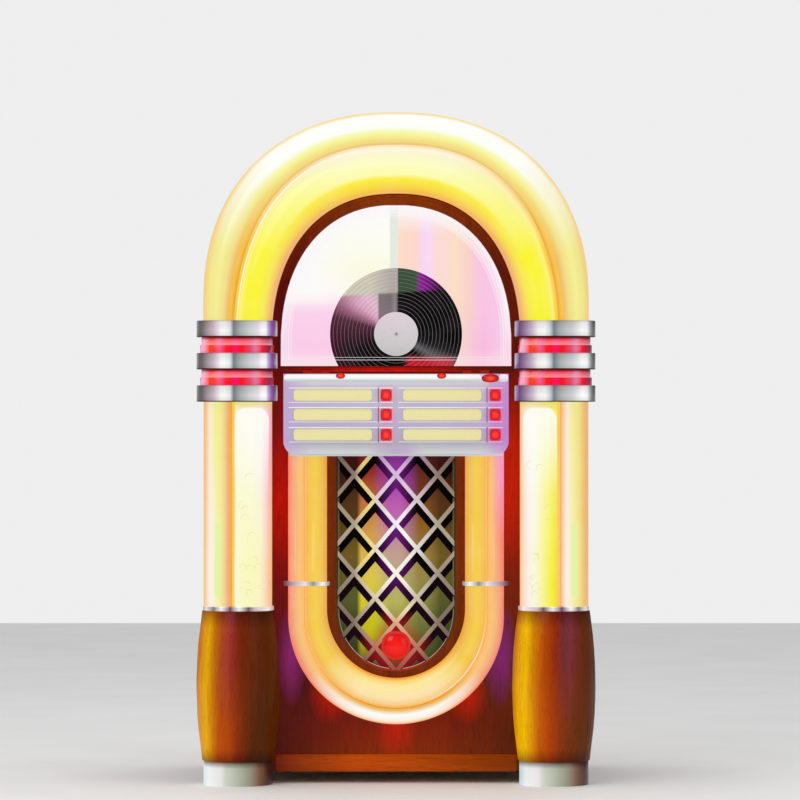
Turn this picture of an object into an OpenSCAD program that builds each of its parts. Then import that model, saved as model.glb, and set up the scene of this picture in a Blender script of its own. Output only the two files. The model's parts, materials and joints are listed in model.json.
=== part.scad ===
// Full-size arched jukebox with a light-up arch, bubble tubes and a vertical-play mechanism.
// Millimetres. Z is up, the front faces -Y, and the origin is on the floor under the middle.

/* [Cabinet] */
// Half width of the cabinet across its side walls
cab_half_w = 425; // [420:1:430]
// Height of the cabinet's underside above the floor
cab_bottom = 27; // [24:1:30]
// Y of the cabinet's front face
front_y = -200; // [-204:1:-196]
// Y of the cabinet's back edge
back_y = 300; // [280:1:320]
// Thickness of the cabinet's side and arch walls
wall_t = 20; // [16:1:24]
// Thickness of the front panel and the rear door
board_t = 18; // [15:1:18]

/* [Arch] */
// Half width of the arch at its outer edge
arch_half_w = 435.8; // [433:0.1:438]
// Height of the arch's top edge above the floor
arch_top = 1516.5; // [1505:0.5:1525]
// Height where the straight legs of the outer edge end
arch_spring = 1086.8; // [1080:0.1:1094]
// Roundness of the arch's outer edge (2 is an ellipse)
arch_power = 2.24; // [2.1:0.01:2.4]
// How far the light cover stands out from the front
cover_depth = 62; // [50:1:66]
// Depth of the bubble tubes, front to back
tube_depth = 76; // [60:1:80]

/* [Bands] */
// Height of the bottom of the band stack
stack_bottom = 862; // [856:1:866]
// Height of the top of the band stack
stack_top = 1044.5; // [1040:0.5:1050]
// Distance from the middle to a band stack's centre
band_x = 359; // [357:1:361]
// How far the chrome bands stand out from the front
band_depth = 100; // [94:1:106]

/* [Barrels and feet] */
// Distance from the middle to a barrel's centre
barrel_x = 356; // [354:1:356]
// Radius of a barrel at its widest
barrel_r = 94; // [90:1:96]
// Radius of a barrel at its ends
barrel_end_r = 81; // [78:0.5:84]
// Height of a barrel's top
barrel_top = 392; // [386:1:396]
// Height of the front feet
foot_h = 54; // [48:1:58]

/* [Title panel] */
// Half width of the title panel
panel_half_w = 253; // [248:1:256]
// Height of the title panel's bottom edge
panel_bottom = 740; // [736:1:744]
// Height of the title panel's top edge
panel_top = 924.75; // [922:0.25:926]

/* [Record player] */
// Diameter of a record
record_d = 300; // [298:1:302]
// Height of the turntable's axis
spindle_z = 1016; // [1012:1:1020]
// How many records the magazine stores
stored_count = 12; // [4:1:14]

/* [Hidden] */
$fn = 64;
round_fn = 96;          // facets of the large round pieces
sweep_fn = 128;         // facets of a full turn of the largest sweeps
slop = 1;               // how far a cutter runs past the surface that it cuts
sides = [-1, 1];

// Outlines of the front, each as [half width, rise, power, spring height]
outer_edge = [arch_half_w, arch_top - arch_spring, arch_power, arch_spring];
division_edge = [366.8, 457.9, 2.38, 983.3];
tube_edge = [279.7, 340.9, 2.28, 990];
door_edge = [267, 336, 2.28, 988];
window_edge = [261, 321.8, 2.26, 985.5];
cabinet_edge = [cab_half_w, arch_top - 11 - arch_spring, arch_power, arch_spring];
inner_cabinet_edge = [cab_half_w - wall_t, cabinet_edge[1] - wall_t, arch_power, arch_spring];
inset = 1.5;            // gap round the rear door
rear_door_edge = [cab_half_w - wall_t - inset, inner_cabinet_edge[1] - inset, arch_power, arch_spring];

panel_back_y = front_y + board_t;
arch_steps = 48;
section_steps = 11;     // steps along one side of a cover's section
cover_t = 3;            // wall of a light cover

// Pillars
cover_in_x = 369;
cover_out_x = 435;
pillar_tube_in_x = 279;
ring_h = 9;
pillar_bottom = barrel_top + ring_h;

// Window door
door_bottom = 930;
window_bottom = 942.75;
door_front_y = front_y - 12;
door_back_y = front_y - 0.5;
knuckle_r = 4;
pin_r = 2;
pin_gap = 0.05;

// Grille
grille_half_w = 131.6;
grille_centre_z = 388;
grille_tube_r = 155.6;
grille_tube_z = 395;
grille_mid_r = 205;
grille_out_r = 244;
grille_arc_z = 377;
grille_tube_top = 764;
grille_tube_depth = 50;
grille_cover_depth = 42;
play_z = 312;
play_r = 33.5;

// Title panel
panel_front_y = front_y - 65;
plate_t = 13;
panel_box_bottom = 766;
row_z = [877, 833, 788];
card_x = [-142, 104];
button_x = [-22, 223];
card_size = [176, 26];
button_size = [25, 27];
cancel_at = [212, 915];
jewel_x = [-125, 103];
jewel_r = 8;

// Record player
record_r = record_d / 2;
record_t = 2;
record_front_y = -148;
hub_r = 46;
hub_t = 8;
shaft_r = 8;
spindle_r = 3.6;
belt_y = [-135, -128];
hub_pulley_r = 20;
motor_z = 820;
motor_pulley_r = 8;
flywheel_r = 24;
belt_t = 1.5;
deck_y = [-120, -114];
tonearm_pivot = [115, 900];
tonearm_l = 120;
tonearm_rest = 209.7;   // direction of the parked tonearm, anticlockwise from +X seen from the front
magazine_y = 100;
magazine_pitch = 9;
magazine_z = 760;
rail_x = 120;
rail_z = 590;
rail_r = 8;

// Speaker
speaker_z = 470;
speaker_r = 152;
speaker_hole_r = 124;
screw_r = 2;
screw_depth = 9;

// Rear
door_hinge = [-(cab_half_w - wall_t), back_y + 5];
rear_door_bottom = 50;
latch_at = [365, 700];
latch_shaft_r = 5;

// Right side of a superellipse arch as [x, z] points, from its spring to its top
function arch_side(e, steps) = [for (i = [0:steps])
    let (t = 90 * i / steps) [e[0] * pow(cos(t), 2 / e[2]), e[3] + e[1] * pow(sin(t), 2 / e[2])]];

// Closed outline: a flat bottom at z0, straight legs and a superellipse arch
module arch_outline(e, z0, steps = 24) {
    right = arch_side(e, steps);
    left = [for (i = [steps - 1:-1:0]) [-right[i][0], right[i][1]]];
    polygon(concat([[-e[0], z0], [e[0], z0]], right, left));
}

// Extrudes an [x, z] outline between two Y values
module slab(y0, y1) {
    translate([0, y1, 0])
        rotate([90, 0, 0])
            linear_extrude(y1 - y0)
                children();
}

// Cylinder along Y between two Y values
module rod_y(x, z, r, y0, y1) {
    translate([x, y0, z])
        rotate([-90, 0, 0])
            cylinder(h = y1 - y0, r = r);
}

// Cylinder along X between two X values
module rod_x(y, z, r, x0, x1) {
    translate([x0, y, z])
        rotate([0, 90, 0])
            cylinder(h = x1 - x0, r = r);
}

// Box between two corners
module block(lo, hi) {
    translate(lo)
        cube(hi - lo);
}

// Rounded rectangle as an outline, centred
module rounded_rect(w, h, r) {
    for (sx = sides, sy = sides)
        translate([sx * (w / 2 - r), sy * (h / 2 - r)])
            circle(r);
    square([w - 2 * r, h], center = true);
    square([w, h - 2 * r], center = true);
}

// Plan outline of a pillar piece: a straight back on the front face and a bulging front
module bulge(x0, x1, depth, power, steps = 20) {
    hw = (x1 - x0) / 2;
    polygon([for (i = [0:steps])
        let (t = 180 * i / steps, c = cos(t))
        [(x0 + x1) / 2 + hw * sign(c) * pow(abs(c), 2 / power),
            front_y - depth * pow(abs(sin(t)), 2 / power)]]);
}

// Distance from the sweep centre to an arch outline along direction t, by halving
function reach(e, t, lo = 100, hi = 700, tries = 22) =
    tries == 0 ? (lo + hi) / 2
    : let (mid = (lo + hi) / 2,
        x = abs(mid * cos(t)) / e[0],
        z = max(0, stack_top + mid * sin(t) - e[3]) / e[1],
        outside = pow(x, e[2]) + pow(z, e[2]) > 1)
    outside ? reach(e, t, lo, mid, tries - 1) : reach(e, t, mid, hi, tries - 1);

// Closed mesh through a list of rings that all have the same number of points
module loft(rings) {
    n = len(rings[0]);
    last = len(rings) - 1;
    sides_faces = [for (k = [0:last - 1], j = [0:n - 1])
        [k * n + j, k * n + (j + 1) % n, (k + 1) * n + (j + 1) % n, (k + 1) * n + j]];
    caps = [[for (j = [n - 1:-1:0]) j], [for (j = [0:n - 1]) last * n + j]];
    polyhedron(points = [for (r = rings, p = r) p], faces = concat(sides_faces, caps), convexity = 8);
}

// Section of a light cover as [across, y] points: out over the front and back inside the wall
function cover_section(half_w, depth) = concat(
    [for (i = [0:section_steps]) let (t = 180 * i / section_steps)
        [half_w * cos(t), front_y - depth * sin(t)]],
    [for (i = [section_steps:-1:0]) let (t = 180 * i / section_steps)
        [(half_w - cover_t) * cos(t), front_y - (depth - cover_t) * sin(t)]]);

// Section of a bubble tube as [across, y] points: a closed ellipse that rests on the front face
function tube_section(half_w, depth) = let (n = 2 * section_steps)
    [for (i = [0:n - 1]) let (t = 360 * i / n)
        [half_w * cos(t), front_y - depth / 2 - depth / 2 * sin(t)]];

// One cross-section of the arch, turned to direction t
function arch_ring(t, r_in, r_out, section) =
    [for (s = section) let (r = (r_in + r_out) / 2 + s[0])
        [r * cos(t), s[1], stack_top + r * sin(t)]];

module arch_light_cover() {
    color("khaki")
        loft([for (i = [0:arch_steps]) let (t = 180 * i / arch_steps,
            r_in = reach(division_edge, t), r_out = reach(outer_edge, t))
            arch_ring(t, r_in, r_out, cover_section((r_out - r_in) / 2, cover_depth))]);
}

module arch_bubble_tube() {
    color("gold")
        loft([for (i = [0:arch_steps]) let (t = 180 * i / arch_steps,
            r_in = reach(tube_edge, t), r_out = reach(division_edge, t))
            arch_ring(t, r_in, r_out, tube_section((r_out - r_in) / 2, tube_depth))]);
}

module pillar_light_covers() {
    mid = (cover_in_x + cover_out_x) / 2;
    half_w = (cover_out_x - cover_in_x) / 2;
    color("moccasin")
        for (s = sides)
            translate([s * mid, 0, pillar_bottom])
                linear_extrude(stack_bottom - pillar_bottom)
                    polygon(cover_section(half_w, cover_depth));
}

module pillar_bubble_tubes() {
    mid = (pillar_tube_in_x + cover_in_x) / 2;
    half_w = (cover_in_x - pillar_tube_in_x) / 2;
    color("lemonchiffon")
        for (s = sides)
            translate([s * mid, 0, pillar_bottom])
                linear_extrude(stack_bottom - pillar_bottom)
                    polygon(tube_section(half_w, tube_depth));
}

// Hollow ring round a pillar between two heights
module band(z0, z1, half_w, depth, wall) {
    for (s = sides)
        translate([s * band_x, 0, z0])
            linear_extrude(z1 - z0)
                difference() {
                    bulge(-half_w, half_w, depth, band_power);
                    bulge(-half_w + wall, half_w - wall, depth - wall, band_power);
                }
}

band_h = 37;
band_power = 3.6;       // squareness of the bands' plan outline
band_gap = (stack_top - stack_bottom - 3 * band_h) / 2;
band_z = [for (i = [0:2]) stack_bottom + i * (band_h + band_gap)];
chrome_half_w = 91;

module chrome_bands() {
    chrome_wall = 14;
    color("silver")
        for (z = band_z)
            band(z, z + band_h, chrome_half_w, band_depth, chrome_wall);
}

module red_bands() {
    tier = band_gap / 2;
    lower_in = 8;
    upper_in = 11;
    lower_wall = 8;
    upper_wall = 5;
    color("crimson")
        for (z = [band_z[0] + band_h, band_z[1] + band_h])
            union() {
                band(z, z + tier, chrome_half_w - lower_in, band_depth - lower_in, lower_wall);
                band(z + tier, z + band_gap, chrome_half_w - upper_in, band_depth - upper_in, upper_wall);
            }
}

clip_z = 448;           // bottom of the rings that clasp the grille's tubes

module tube_rings() {
    collar_half_w = 80;
    collar_out = 8;
    collar_power = 2.8;
    clip_x = 202;
    clip_half_w = 52;
    clip_hole_half_w = 49.5;
    clip_out = 7;
    clip_hole_out = 4;
    clip_power = 5;
    clip_hole_power = 6;
    color("silver") {
        for (s = sides)
            translate([s * barrel_x, 0, barrel_top])
                linear_extrude(ring_h)
                    bulge(-collar_half_w, collar_half_w, tube_depth + collar_out, collar_power);
        for (s = sides)
            translate([s * clip_x, 0, clip_z])
                linear_extrude(ring_h)
                    difference() {
                        bulge(-clip_half_w, clip_half_w, grille_tube_depth + clip_out, clip_power);
                        bulge(-clip_hole_half_w, clip_hole_half_w, grille_tube_depth + clip_hole_out,
                            clip_hole_power);
                    }
    }
}

// Everything in front of the cabinet's front face, as high as the barrels
module ahead_of_front() {
    reach_x = 500;
    reach_y = 200;
    block([-reach_x, front_y - reach_y, 0], [reach_x, front_y, barrel_top + reach_y]);
}

barrel_y = front_y - 26;    // Y of the axis of the barrels and their feet

// Hollow bulging barrel, flat where it meets the cabinet
module barrel(x) {
    rise = (barrel_top - foot_h) / 2;
    sag = barrel_r - barrel_end_r;
    arc_r = (rise * rise + sag * sag) / (2 * sag);
    stave_t = 12;
    barrel_fn = 720;
    color("saddlebrown")
        intersection() {
            translate([x, barrel_y, foot_h + rise])
                rotate_extrude($fn = round_fn)
                    difference() {
                        intersection() {
                            translate([barrel_r - arc_r, 0])
                                circle(arc_r, $fn = barrel_fn);
                            translate([0, -rise])
                                square([barrel_r + slop, 2 * rise]);
                        }
                        translate([-slop, -rise - slop])
                            square([barrel_end_r - stave_t + slop, 2 * rise + 2 * slop - stave_t]);
                    }
            ahead_of_front();
        }
}

module left_barrel() {
    barrel(-barrel_x);
}

module right_barrel() {
    barrel(barrel_x);
}

module front_feet() {
    foot_r = 78;
    color("silver")
        intersection() {
            for (s = sides)
                translate([s * barrel_x, barrel_y, 0])
                    cylinder(h = foot_h, r = foot_r);
            ahead_of_front();
        }
}

module rear_feet() {
    foot_x = 350;
    foot_back = 60;
    foot_r = 30;
    color("dimgray")
        for (s = sides)
            translate([s * foot_x, back_y - foot_back, 0])
                cylinder(h = cab_bottom, r = foot_r);
}

module cabinet_shell() {
    color("sienna")
        difference() {
            slab(panel_back_y, back_y)
                arch_outline(cabinet_edge, cab_bottom);
            slab(panel_back_y - slop, back_y + slop)
                arch_outline(inner_cabinet_edge, cab_bottom - slop);
        }
}

module floor_board() {
    half_w = cab_half_w - wall_t;
    door_gap = 4;
    color("burlywood")
        block([-half_w, panel_back_y, cab_bottom],
            [half_w, back_y - board_t - door_gap, cab_bottom + wall_t]);
}

// Straight-sided opening with a round bottom
module grille_outline(w, bottom_centre, top) {
    translate([0, bottom_centre])
        circle(w, $fn = round_fn);
    translate([-w, bottom_centre])
        square([2 * w, top - bottom_centre]);
}

recess_y = front_y + 8; // floor of the recess that holds the speaker cloth

module front_panel() {
    color("maroon")
        difference() {
            slab(front_y, panel_back_y)
                arch_outline(cabinet_edge, cab_bottom);
            slab(front_y - slop, panel_back_y + slop)
                arch_outline(window_edge, window_bottom);
            slab(front_y - slop, recess_y)
                grille_outline(grille_half_w, grille_centre_z, panel_box_bottom);
            rod_y(0, speaker_z, speaker_hole_r, front_y - slop, panel_back_y + slop);
            speaker_screw_places()
                cylinder(h = screw_depth, r = screw_r);
        }
}

module plinth_rail() {
    rail_half_w = 272;
    rail_t = 12;
    rail_top = 65;
    color("chocolate")
        block([-rail_half_w, front_y - rail_t, cab_bottom], [rail_half_w, front_y, rail_top]);
}

// The same arch, grown outwards by g
function grown(e, g) = [e[0] + g, e[1] + g, e[2], e[3]];

module window_surround() {
    surround_t = 6;
    gap = 1;
    leg_end = stack_top + 1;
    color("maroon")
        slab(front_y - surround_t, front_y)
            difference() {
                arch_outline(grown(tube_edge, -gap), door_bottom);
                arch_outline(grown(door_edge, gap), door_bottom - slop);
                translate([-cab_half_w, door_bottom - slop])
                    square([2 * cab_half_w, leg_end - door_bottom + slop]);
            }
}

hinge_x = 180;          // distance from the middle to a window hinge's centre
knuckle_l = 20;         // length of the door's own knuckle, between the two fixed ones
outer_knuckle_x = 20.5; // distance from a hinge's centre to a fixed knuckle's centre
outer_knuckle_l = 19;
glass_y = [door_front_y + 3, door_front_y + 7];
glass_lap = 3;          // how far the glass reaches past the opening, all round

module window_frame() {
    pin_bore = 50;
    notch_half_l = 10.3;
    notch_r = 6;
    color("brown")
        difference() {
            union() {
                slab(door_front_y, door_back_y)
                    arch_outline(door_edge, door_bottom);
                for (s = sides)
                    rod_x(door_front_y, door_bottom, knuckle_r,
                        s * hinge_x - knuckle_l / 2, s * hinge_x + knuckle_l / 2);
            }
            slab(door_front_y - slop, door_back_y + slop)
                arch_outline(window_edge, window_bottom);
            slab(glass_y[0], door_back_y + slop)
                arch_outline(grown(window_edge, glass_lap), window_bottom - glass_lap);
            for (s = sides) {
                rod_x(door_front_y, door_bottom, pin_r + pin_gap,
                    s * hinge_x - pin_bore, s * hinge_x + pin_bore);
                for (d = sides) {
                    x = s * hinge_x + d * outer_knuckle_x;
                    block([x - notch_half_l, door_front_y - notch_r, door_bottom - notch_r],
                        [x + notch_half_l, door_back_y + slop, door_bottom + notch_r]);
                }
            }
        }
}

module window_glass() {
    color("mistyrose")
        slab(glass_y[0], glass_y[1])
            arch_outline(grown(window_edge, glass_lap), window_bottom - glass_lap);
}

module window_hinges() {
    pin_half_l = outer_knuckle_x + outer_knuckle_l / 2;
    color("silver")
        for (s = sides) {
            rod_x(door_front_y, door_bottom, pin_r, s * hinge_x - pin_half_l, s * hinge_x + pin_half_l);
            for (d = sides) {
                x0 = s * hinge_x + d * outer_knuckle_x - outer_knuckle_l / 2;
                x1 = x0 + outer_knuckle_l;
                rod_x(door_front_y, door_bottom, knuckle_r, x0, x1);
                block([x0, door_front_y, door_bottom - knuckle_r], [x1, front_y, door_bottom]);
            }
        }
}

cancel_size = [38, 15];
card_corner = 7;
jewel_pin_r = 5;
jewel_out = 7;          // how far a jewel's centre stands ahead of the panel
jewel_pin_z = panel_top - 8;
jewel_z = panel_top - 4;
pin_end_y = panel_front_y + 9;
card_back_y = panel_front_y + 3;

module title_panel() {
    h = panel_top - panel_bottom;
    mid_z = (panel_top + panel_bottom) / 2;
    low_corner = 34;
    top_corner = 9;
    box_t = 5;
    lip_r = 6;
    lip_in = 10;
    lip_end = 12;
    card_gap = 4;
    button_gap = 0.8;
    button_corner = 5.4;
    cancel_corner = 7.8;
    color("thistle")
        difference() {
            union() {
                slab(panel_front_y, panel_front_y + plate_t)
                    translate([0, mid_z]) {
                        rounded_rect(2 * panel_half_w, h, low_corner);
                        translate([-panel_half_w + top_corner, 0])
                            square([2 * (panel_half_w - top_corner), h / 2]);
                        for (s = sides)
                            translate([s * (panel_half_w - top_corner), h / 2 - top_corner])
                                circle(top_corner);
                        translate([-panel_half_w, 0])
                            square([2 * panel_half_w, h / 2 - top_corner]);
                    }
                block([-panel_half_w, panel_front_y + box_t, panel_box_bottom],
                    [panel_half_w, front_y, panel_top]);
                rod_x(panel_front_y + 1, panel_top - lip_in, lip_r,
                    -panel_half_w + lip_end, panel_half_w - lip_end);
            }
            block([-panel_half_w + box_t, panel_front_y + plate_t, panel_box_bottom + box_t],
                [panel_half_w - box_t, front_y + slop, panel_top - box_t]);
            for (z = row_z) {
                for (x = card_x)
                    slab(panel_front_y - slop, card_back_y)
                        translate([x, z])
                            rounded_rect(card_size[0] + card_gap, card_size[1] + card_gap, card_corner);
                for (x = button_x)
                    slab(panel_front_y - slop, panel_front_y + plate_t + slop)
                        translate([x, z])
                            rounded_rect(button_size[0] + button_gap, button_size[1] + button_gap,
                                button_corner);
            }
            slab(panel_front_y - 2 * lip_r, panel_front_y + plate_t + 2 * box_t)
                translate(cancel_at)
                    rounded_rect(cancel_size[0] + button_gap, cancel_size[1] + button_gap, cancel_corner);
            for (x = jewel_x) {
                rod_y(x, jewel_pin_z, jewel_pin_r, panel_front_y - jewel_out - slop, pin_end_y);
                translate([x, panel_front_y - jewel_out, jewel_z])
                    sphere(jewel_r + pin_gap);
            }
        }
}

module title_cards() {
    card_t = 1.2;
    color("lightyellow")
        for (x = card_x, z = row_z)
            slab(card_back_y - card_t, card_back_y)
                translate([x, z])
                    rounded_rect(card_size[0], card_size[1], card_corner);
}

// Guide plate position: the button's collar rests behind the title panel's plate
collar_y = panel_front_y + plate_t;

module select_button(x, z) {
    cap_out = 6;
    cap_corner = 5;
    collar_t = 3;
    collar_lap = 4;
    stem_r = 4;
    stem_l = 25;
    color("red") {
        slab(panel_front_y - cap_out, collar_y)
            translate([x, z])
                rounded_rect(button_size[0], button_size[1], cap_corner);
        slab(collar_y, collar_y + collar_t)
            translate([x, z])
                square([button_size[0] + collar_lap, button_size[1] + collar_lap], center = true);
        rod_y(x, z, stem_r, collar_y + collar_t, collar_y + collar_t + stem_l);
    }
}

module select_button_1() {
    select_button(button_x[0], row_z[0]);
}

module select_button_2() {
    select_button(button_x[0], row_z[1]);
}

module select_button_3() {
    select_button(button_x[0], row_z[2]);
}

module select_button_4() {
    select_button(button_x[1], row_z[0]);
}

module select_button_5() {
    select_button(button_x[1], row_z[1]);
}

module select_button_6() {
    select_button(button_x[1], row_z[2]);
}

module cancel_button() {
    cap_out = 12;
    cap_corner = 7.4;
    color("red")
        slab(panel_front_y - cap_out, collar_y)
            translate(cancel_at)
                rounded_rect(cancel_size[0], cancel_size[1], cap_corner);
}

module pilot_jewels() {
    color("red")
        for (x = jewel_x) {
            rod_y(x, jewel_pin_z, jewel_pin_r, panel_front_y - jewel_out, pin_end_y);
            translate([x, panel_front_y - jewel_out, jewel_z])
                sphere(jewel_r);
        }
}

lattice_y = [front_y - 6, front_y + 4];
play_seat_y = front_y - 8;

module play_button() {
    dome_r = 44;
    dome_rise = dome_r - sqrt(dome_r * dome_r - play_r * play_r);
    face_y = play_seat_y - 9;
    color("red")
        union() {
            rod_y(0, play_z, play_r, face_y, play_seat_y);
            intersection() {
                translate([0, face_y - dome_rise + dome_r, play_z])
                    sphere(dome_r, $fn = round_fn);
                rod_y(0, play_z, play_r, face_y - dome_rise - slop, face_y + slop);
            }
        }
}

// U-shaped extrusion: straight legs from the arc's centre up to top, round at the bottom
module u_sweep(arc_z, r_mid, top) {
    translate([0, 0, arc_z]) {
        rotate([90, 0, 0])
            rotate([0, 0, 180])
                rotate_extrude(angle = 180, $fn = sweep_fn)
                    translate([r_mid, 0])
                        children();
        for (s = sides)
            translate([s * r_mid, 0, 0])
                linear_extrude(top - arc_z)
                    mirror([0, 1])
                        children();
    }
}

module grille_light_cover() {
    half_w = (grille_out_r - grille_mid_r) / 2;
    section = cover_section(half_w, grille_cover_depth);
    color("orange")
        u_sweep(grille_arc_z, grille_mid_r + half_w, grille_tube_top)
            polygon([for (p = section) [p[0], -p[1]]]);
}

// Cross-sections of the grille's bubble tube: up one leg, round the bottom and up the other
// The section is one unit wide, and each ring stretches it between its inner and outer points
function grille_ring(x_in, x_out, z_in, z_out) =
    [for (s = tube_section(1 / 2, grille_tube_depth))
        [(x_in + x_out) / 2 + s[0] * (x_out - x_in), s[1], (z_in + z_out) / 2 + s[0] * (z_out - z_in)]];

module grille_bubble_tube() {
    steps = 36;
    top_left = grille_ring(-grille_tube_r, -grille_mid_r, grille_tube_top, grille_tube_top);
    top_right = grille_ring(grille_tube_r, grille_mid_r, grille_tube_top, grille_tube_top);
    round = [for (i = [0:steps]) let (t = 180 + 180 * i / steps)
        grille_ring(grille_tube_r * cos(t), grille_mid_r * cos(t),
            grille_tube_z + grille_tube_r * sin(t), grille_arc_z + grille_mid_r * sin(t))];
    color("gold")
        loft(concat([top_left], round, [top_right]));
}

module grille_frame() {
    frame_t = 12;
    tube_gap = 0.6;
    notch_x = 152.5;
    notch_w = 5.2;
    notch_gap = 0.2;
    color("saddlebrown")
        slab(front_y - frame_t, front_y)
            difference() {
                grille_outline(grille_tube_r - tube_gap, grille_tube_z, grille_tube_top);
                translate([0, -slop])
                    grille_outline(grille_half_w, grille_centre_z + slop, grille_tube_top + 2 * slop);
                for (s = sides)
                    translate([s * notch_x, clip_z + ring_h / 2])
                        square([notch_w, ring_h + notch_gap], center = true);
            }
}

diamond_w = 94;
diamond_h = 111;
bar_w = 12;
crossing_z = 364;

module grille_lattice() {
    lean = atan(diamond_h / diamond_w);
    pitch = diamond_w * sin(lean);
    bar_half_l = 700;
    rim_w = 5;
    rim_top = 4;
    ring_w = 4;
    ring_out = 14;
    seat_t = 4;
    color("lightsteelblue")
        difference() {
            union() {
                intersection() {
                    slab(lattice_y[0], lattice_y[1])
                        grille_outline(grille_half_w, grille_centre_z, grille_tube_top);
                    for (s = sides, i = [-4:5])
                        translate([0, 0, crossing_z])
                            rotate([0, s * (90 - lean), 0])
                                block([i * pitch - bar_w / 2, lattice_y[0] - slop, -bar_half_l],
                                    [i * pitch + bar_w / 2, lattice_y[1] + slop, bar_half_l]);
                }
                slab(lattice_y[0], lattice_y[1])
                    difference() {
                        grille_outline(grille_half_w, grille_centre_z, grille_tube_top);
                        translate([0, -slop])
                            grille_outline(grille_half_w - rim_w, grille_centre_z + slop,
                                grille_tube_top - rim_top);
                    }
                rod_y(0, play_z, play_r + ring_w, front_y - ring_out, lattice_y[1]);
            }
            rod_y(0, play_z, play_r + pin_gap, front_y - ring_out - slop, lattice_y[1] - seat_t);
        }
}

module grille_cloth() {
    color("rosybrown")
        slab(lattice_y[1], recess_y)
            grille_outline(grille_half_w, grille_centre_z, grille_tube_top);
}

// Screw positions round the speaker's flange, pointing forward into the panel
module speaker_screw_places() {
    screws = 8;
    edge_in = 10;
    for (i = [0:screws - 1])
        translate([0, panel_back_y, speaker_z])
            rotate([0, 360 * (i + 1 / 2) / screws, 0])
                translate([speaker_r - edge_in, 0, 0])
                    rotate([90, 0, 0])
                        children();
}

// Turns a profile of [radius, distance back] points round the speaker's axis
module speaker_turned(points) {
    translate([0, panel_back_y, speaker_z])
        rotate([-90, 0, 0])
            rotate_extrude($fn = round_fn)
                polygon(points);
}

flange_t = 5;           // thickness of the speaker's flange
cone_seat = 3;          // depth where the cone's edge meets the frame
coil_r = [20, 22];      // inner and outer radius of the voice coil
coil_end = 66;          // depth of the coil's rear end
basket_r = 62;
basket_back = 70;       // depth of the basket's rear face, where the magnet starts

module speaker_frame() {
    basket_t = 6;
    back_t = 4;
    shoulder = 8;
    windows = 6;
    window_x = [76, 110];
    window_y = [16, 60];
    window_half_w = 18;
    color("dimgray")
        difference() {
            speaker_turned([[speaker_r, 0], [speaker_r, flange_t], [speaker_hole_r + shoulder, flange_t],
                [basket_r, basket_back - shoulder], [basket_r, basket_back], [coil_r[1], basket_back],
                [coil_r[1], coil_end], [basket_r - basket_t, coil_end],
                [basket_r - basket_t, coil_end - back_t], [speaker_hole_r, cone_seat], [speaker_hole_r, 0]]);
            for (i = [0:windows - 1])
                translate([0, panel_back_y, speaker_z])
                    rotate([0, 360 * i / windows, 0])
                        block([window_x[0], window_y[0], -window_half_w],
                            [window_x[1], window_y[1], window_half_w]);
            speaker_screw_places()
                translate([0, 0, -2 * flange_t])
                    cylinder(h = 4 * flange_t, r = screw_r + pin_gap);
        }
}

module speaker_cone() {
    roll_r = [speaker_hole_r - 2, speaker_hole_r - 10, speaker_hole_r - 16];
    rear_roll_r = speaker_hole_r - 8;
    neck_r = 26;
    cap_edge = 46;
    cap_middle = 40;
    skin = 2;
    color("darkslategray")
        speaker_turned([[speaker_hole_r, cone_seat], [roll_r[0], cone_seat], [roll_r[1], cone_seat - 2.5],
            [roll_r[2], cone_seat + skin], [neck_r, cap_edge + 10], [coil_r[0], cap_edge], [0, cap_middle],
            [0, cap_middle + skin], [coil_r[0], cap_edge + skin], [coil_r[0], coil_end],
            [coil_r[1], coil_end], [neck_r, coil_end - 6], [roll_r[2], cone_seat + 5],
            [rear_roll_r, cone_seat + 1]]);
}

module speaker_magnet() {
    magnet_r = 60;
    magnet_t = 30;
    color("gray")
        speaker_turned([[0, basket_back], [magnet_r, basket_back], [magnet_r, basket_back + magnet_t],
            [0, basket_back + magnet_t]]);
}

module speaker_screws() {
    head_t = 3;
    head_r = 4.5;
    color("silver")
        speaker_screw_places() {
            translate([0, 0, -flange_t])
                cylinder(h = flange_t + screw_depth - slop, r = screw_r);
            translate([0, 0, -flange_t - head_t])
                cylinder(h = head_t, r = head_r);
        }
}

spindle_end_y = -104;   // rear end of the turntable's shaft
arm_pin_r = 4;
motor_shaft_r = 3;
motor_pilot_r = 8;

module mechanism_deck() {
    flange_x = 268;
    side_t = 5;
    foot_w = 22;
    deck_z = [780, 925];
    boss_r = 26;
    boss_out = [6, 4];
    arm_boss_r = 10;
    arm_boss_y = -133;
    arm_pin_y = -143;
    motor_hole_r = 12;
    color("lightsteelblue")
        difference() {
            union() {
                block([-flange_x, deck_y[0], deck_z[0]], [flange_x, deck_y[1], deck_z[1]]);
                for (s = sides) {
                    block([min(s * flange_x, s * (flange_x - side_t)), panel_back_y, deck_z[0]],
                        [max(s * flange_x, s * (flange_x - side_t)), deck_y[1], deck_z[1]]);
                    block([min(s * flange_x, s * (flange_x + foot_w)), panel_back_y, deck_z[0]],
                        [max(s * flange_x, s * (flange_x + foot_w)), panel_back_y + side_t, deck_z[1]]);
                }
                block([-boss_r, deck_y[0], deck_z[1] - side_t], [boss_r, deck_y[1], spindle_z]);
                rod_y(0, spindle_z, boss_r, deck_y[0] - boss_out[0], deck_y[1] + boss_out[1]);
                rod_y(tonearm_pivot[0], tonearm_pivot[1], arm_boss_r, arm_boss_y, deck_y[1]);
                rod_y(tonearm_pivot[0], tonearm_pivot[1], arm_pin_r, arm_pin_y, arm_boss_y + slop);
            }
            rod_y(0, spindle_z, shaft_r + pin_gap,
                deck_y[0] - boss_out[0] - slop, deck_y[1] + boss_out[1] + slop);
            rod_y(0, motor_z, motor_hole_r, deck_y[0] - slop, deck_y[1] + slop);
        }
}

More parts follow.
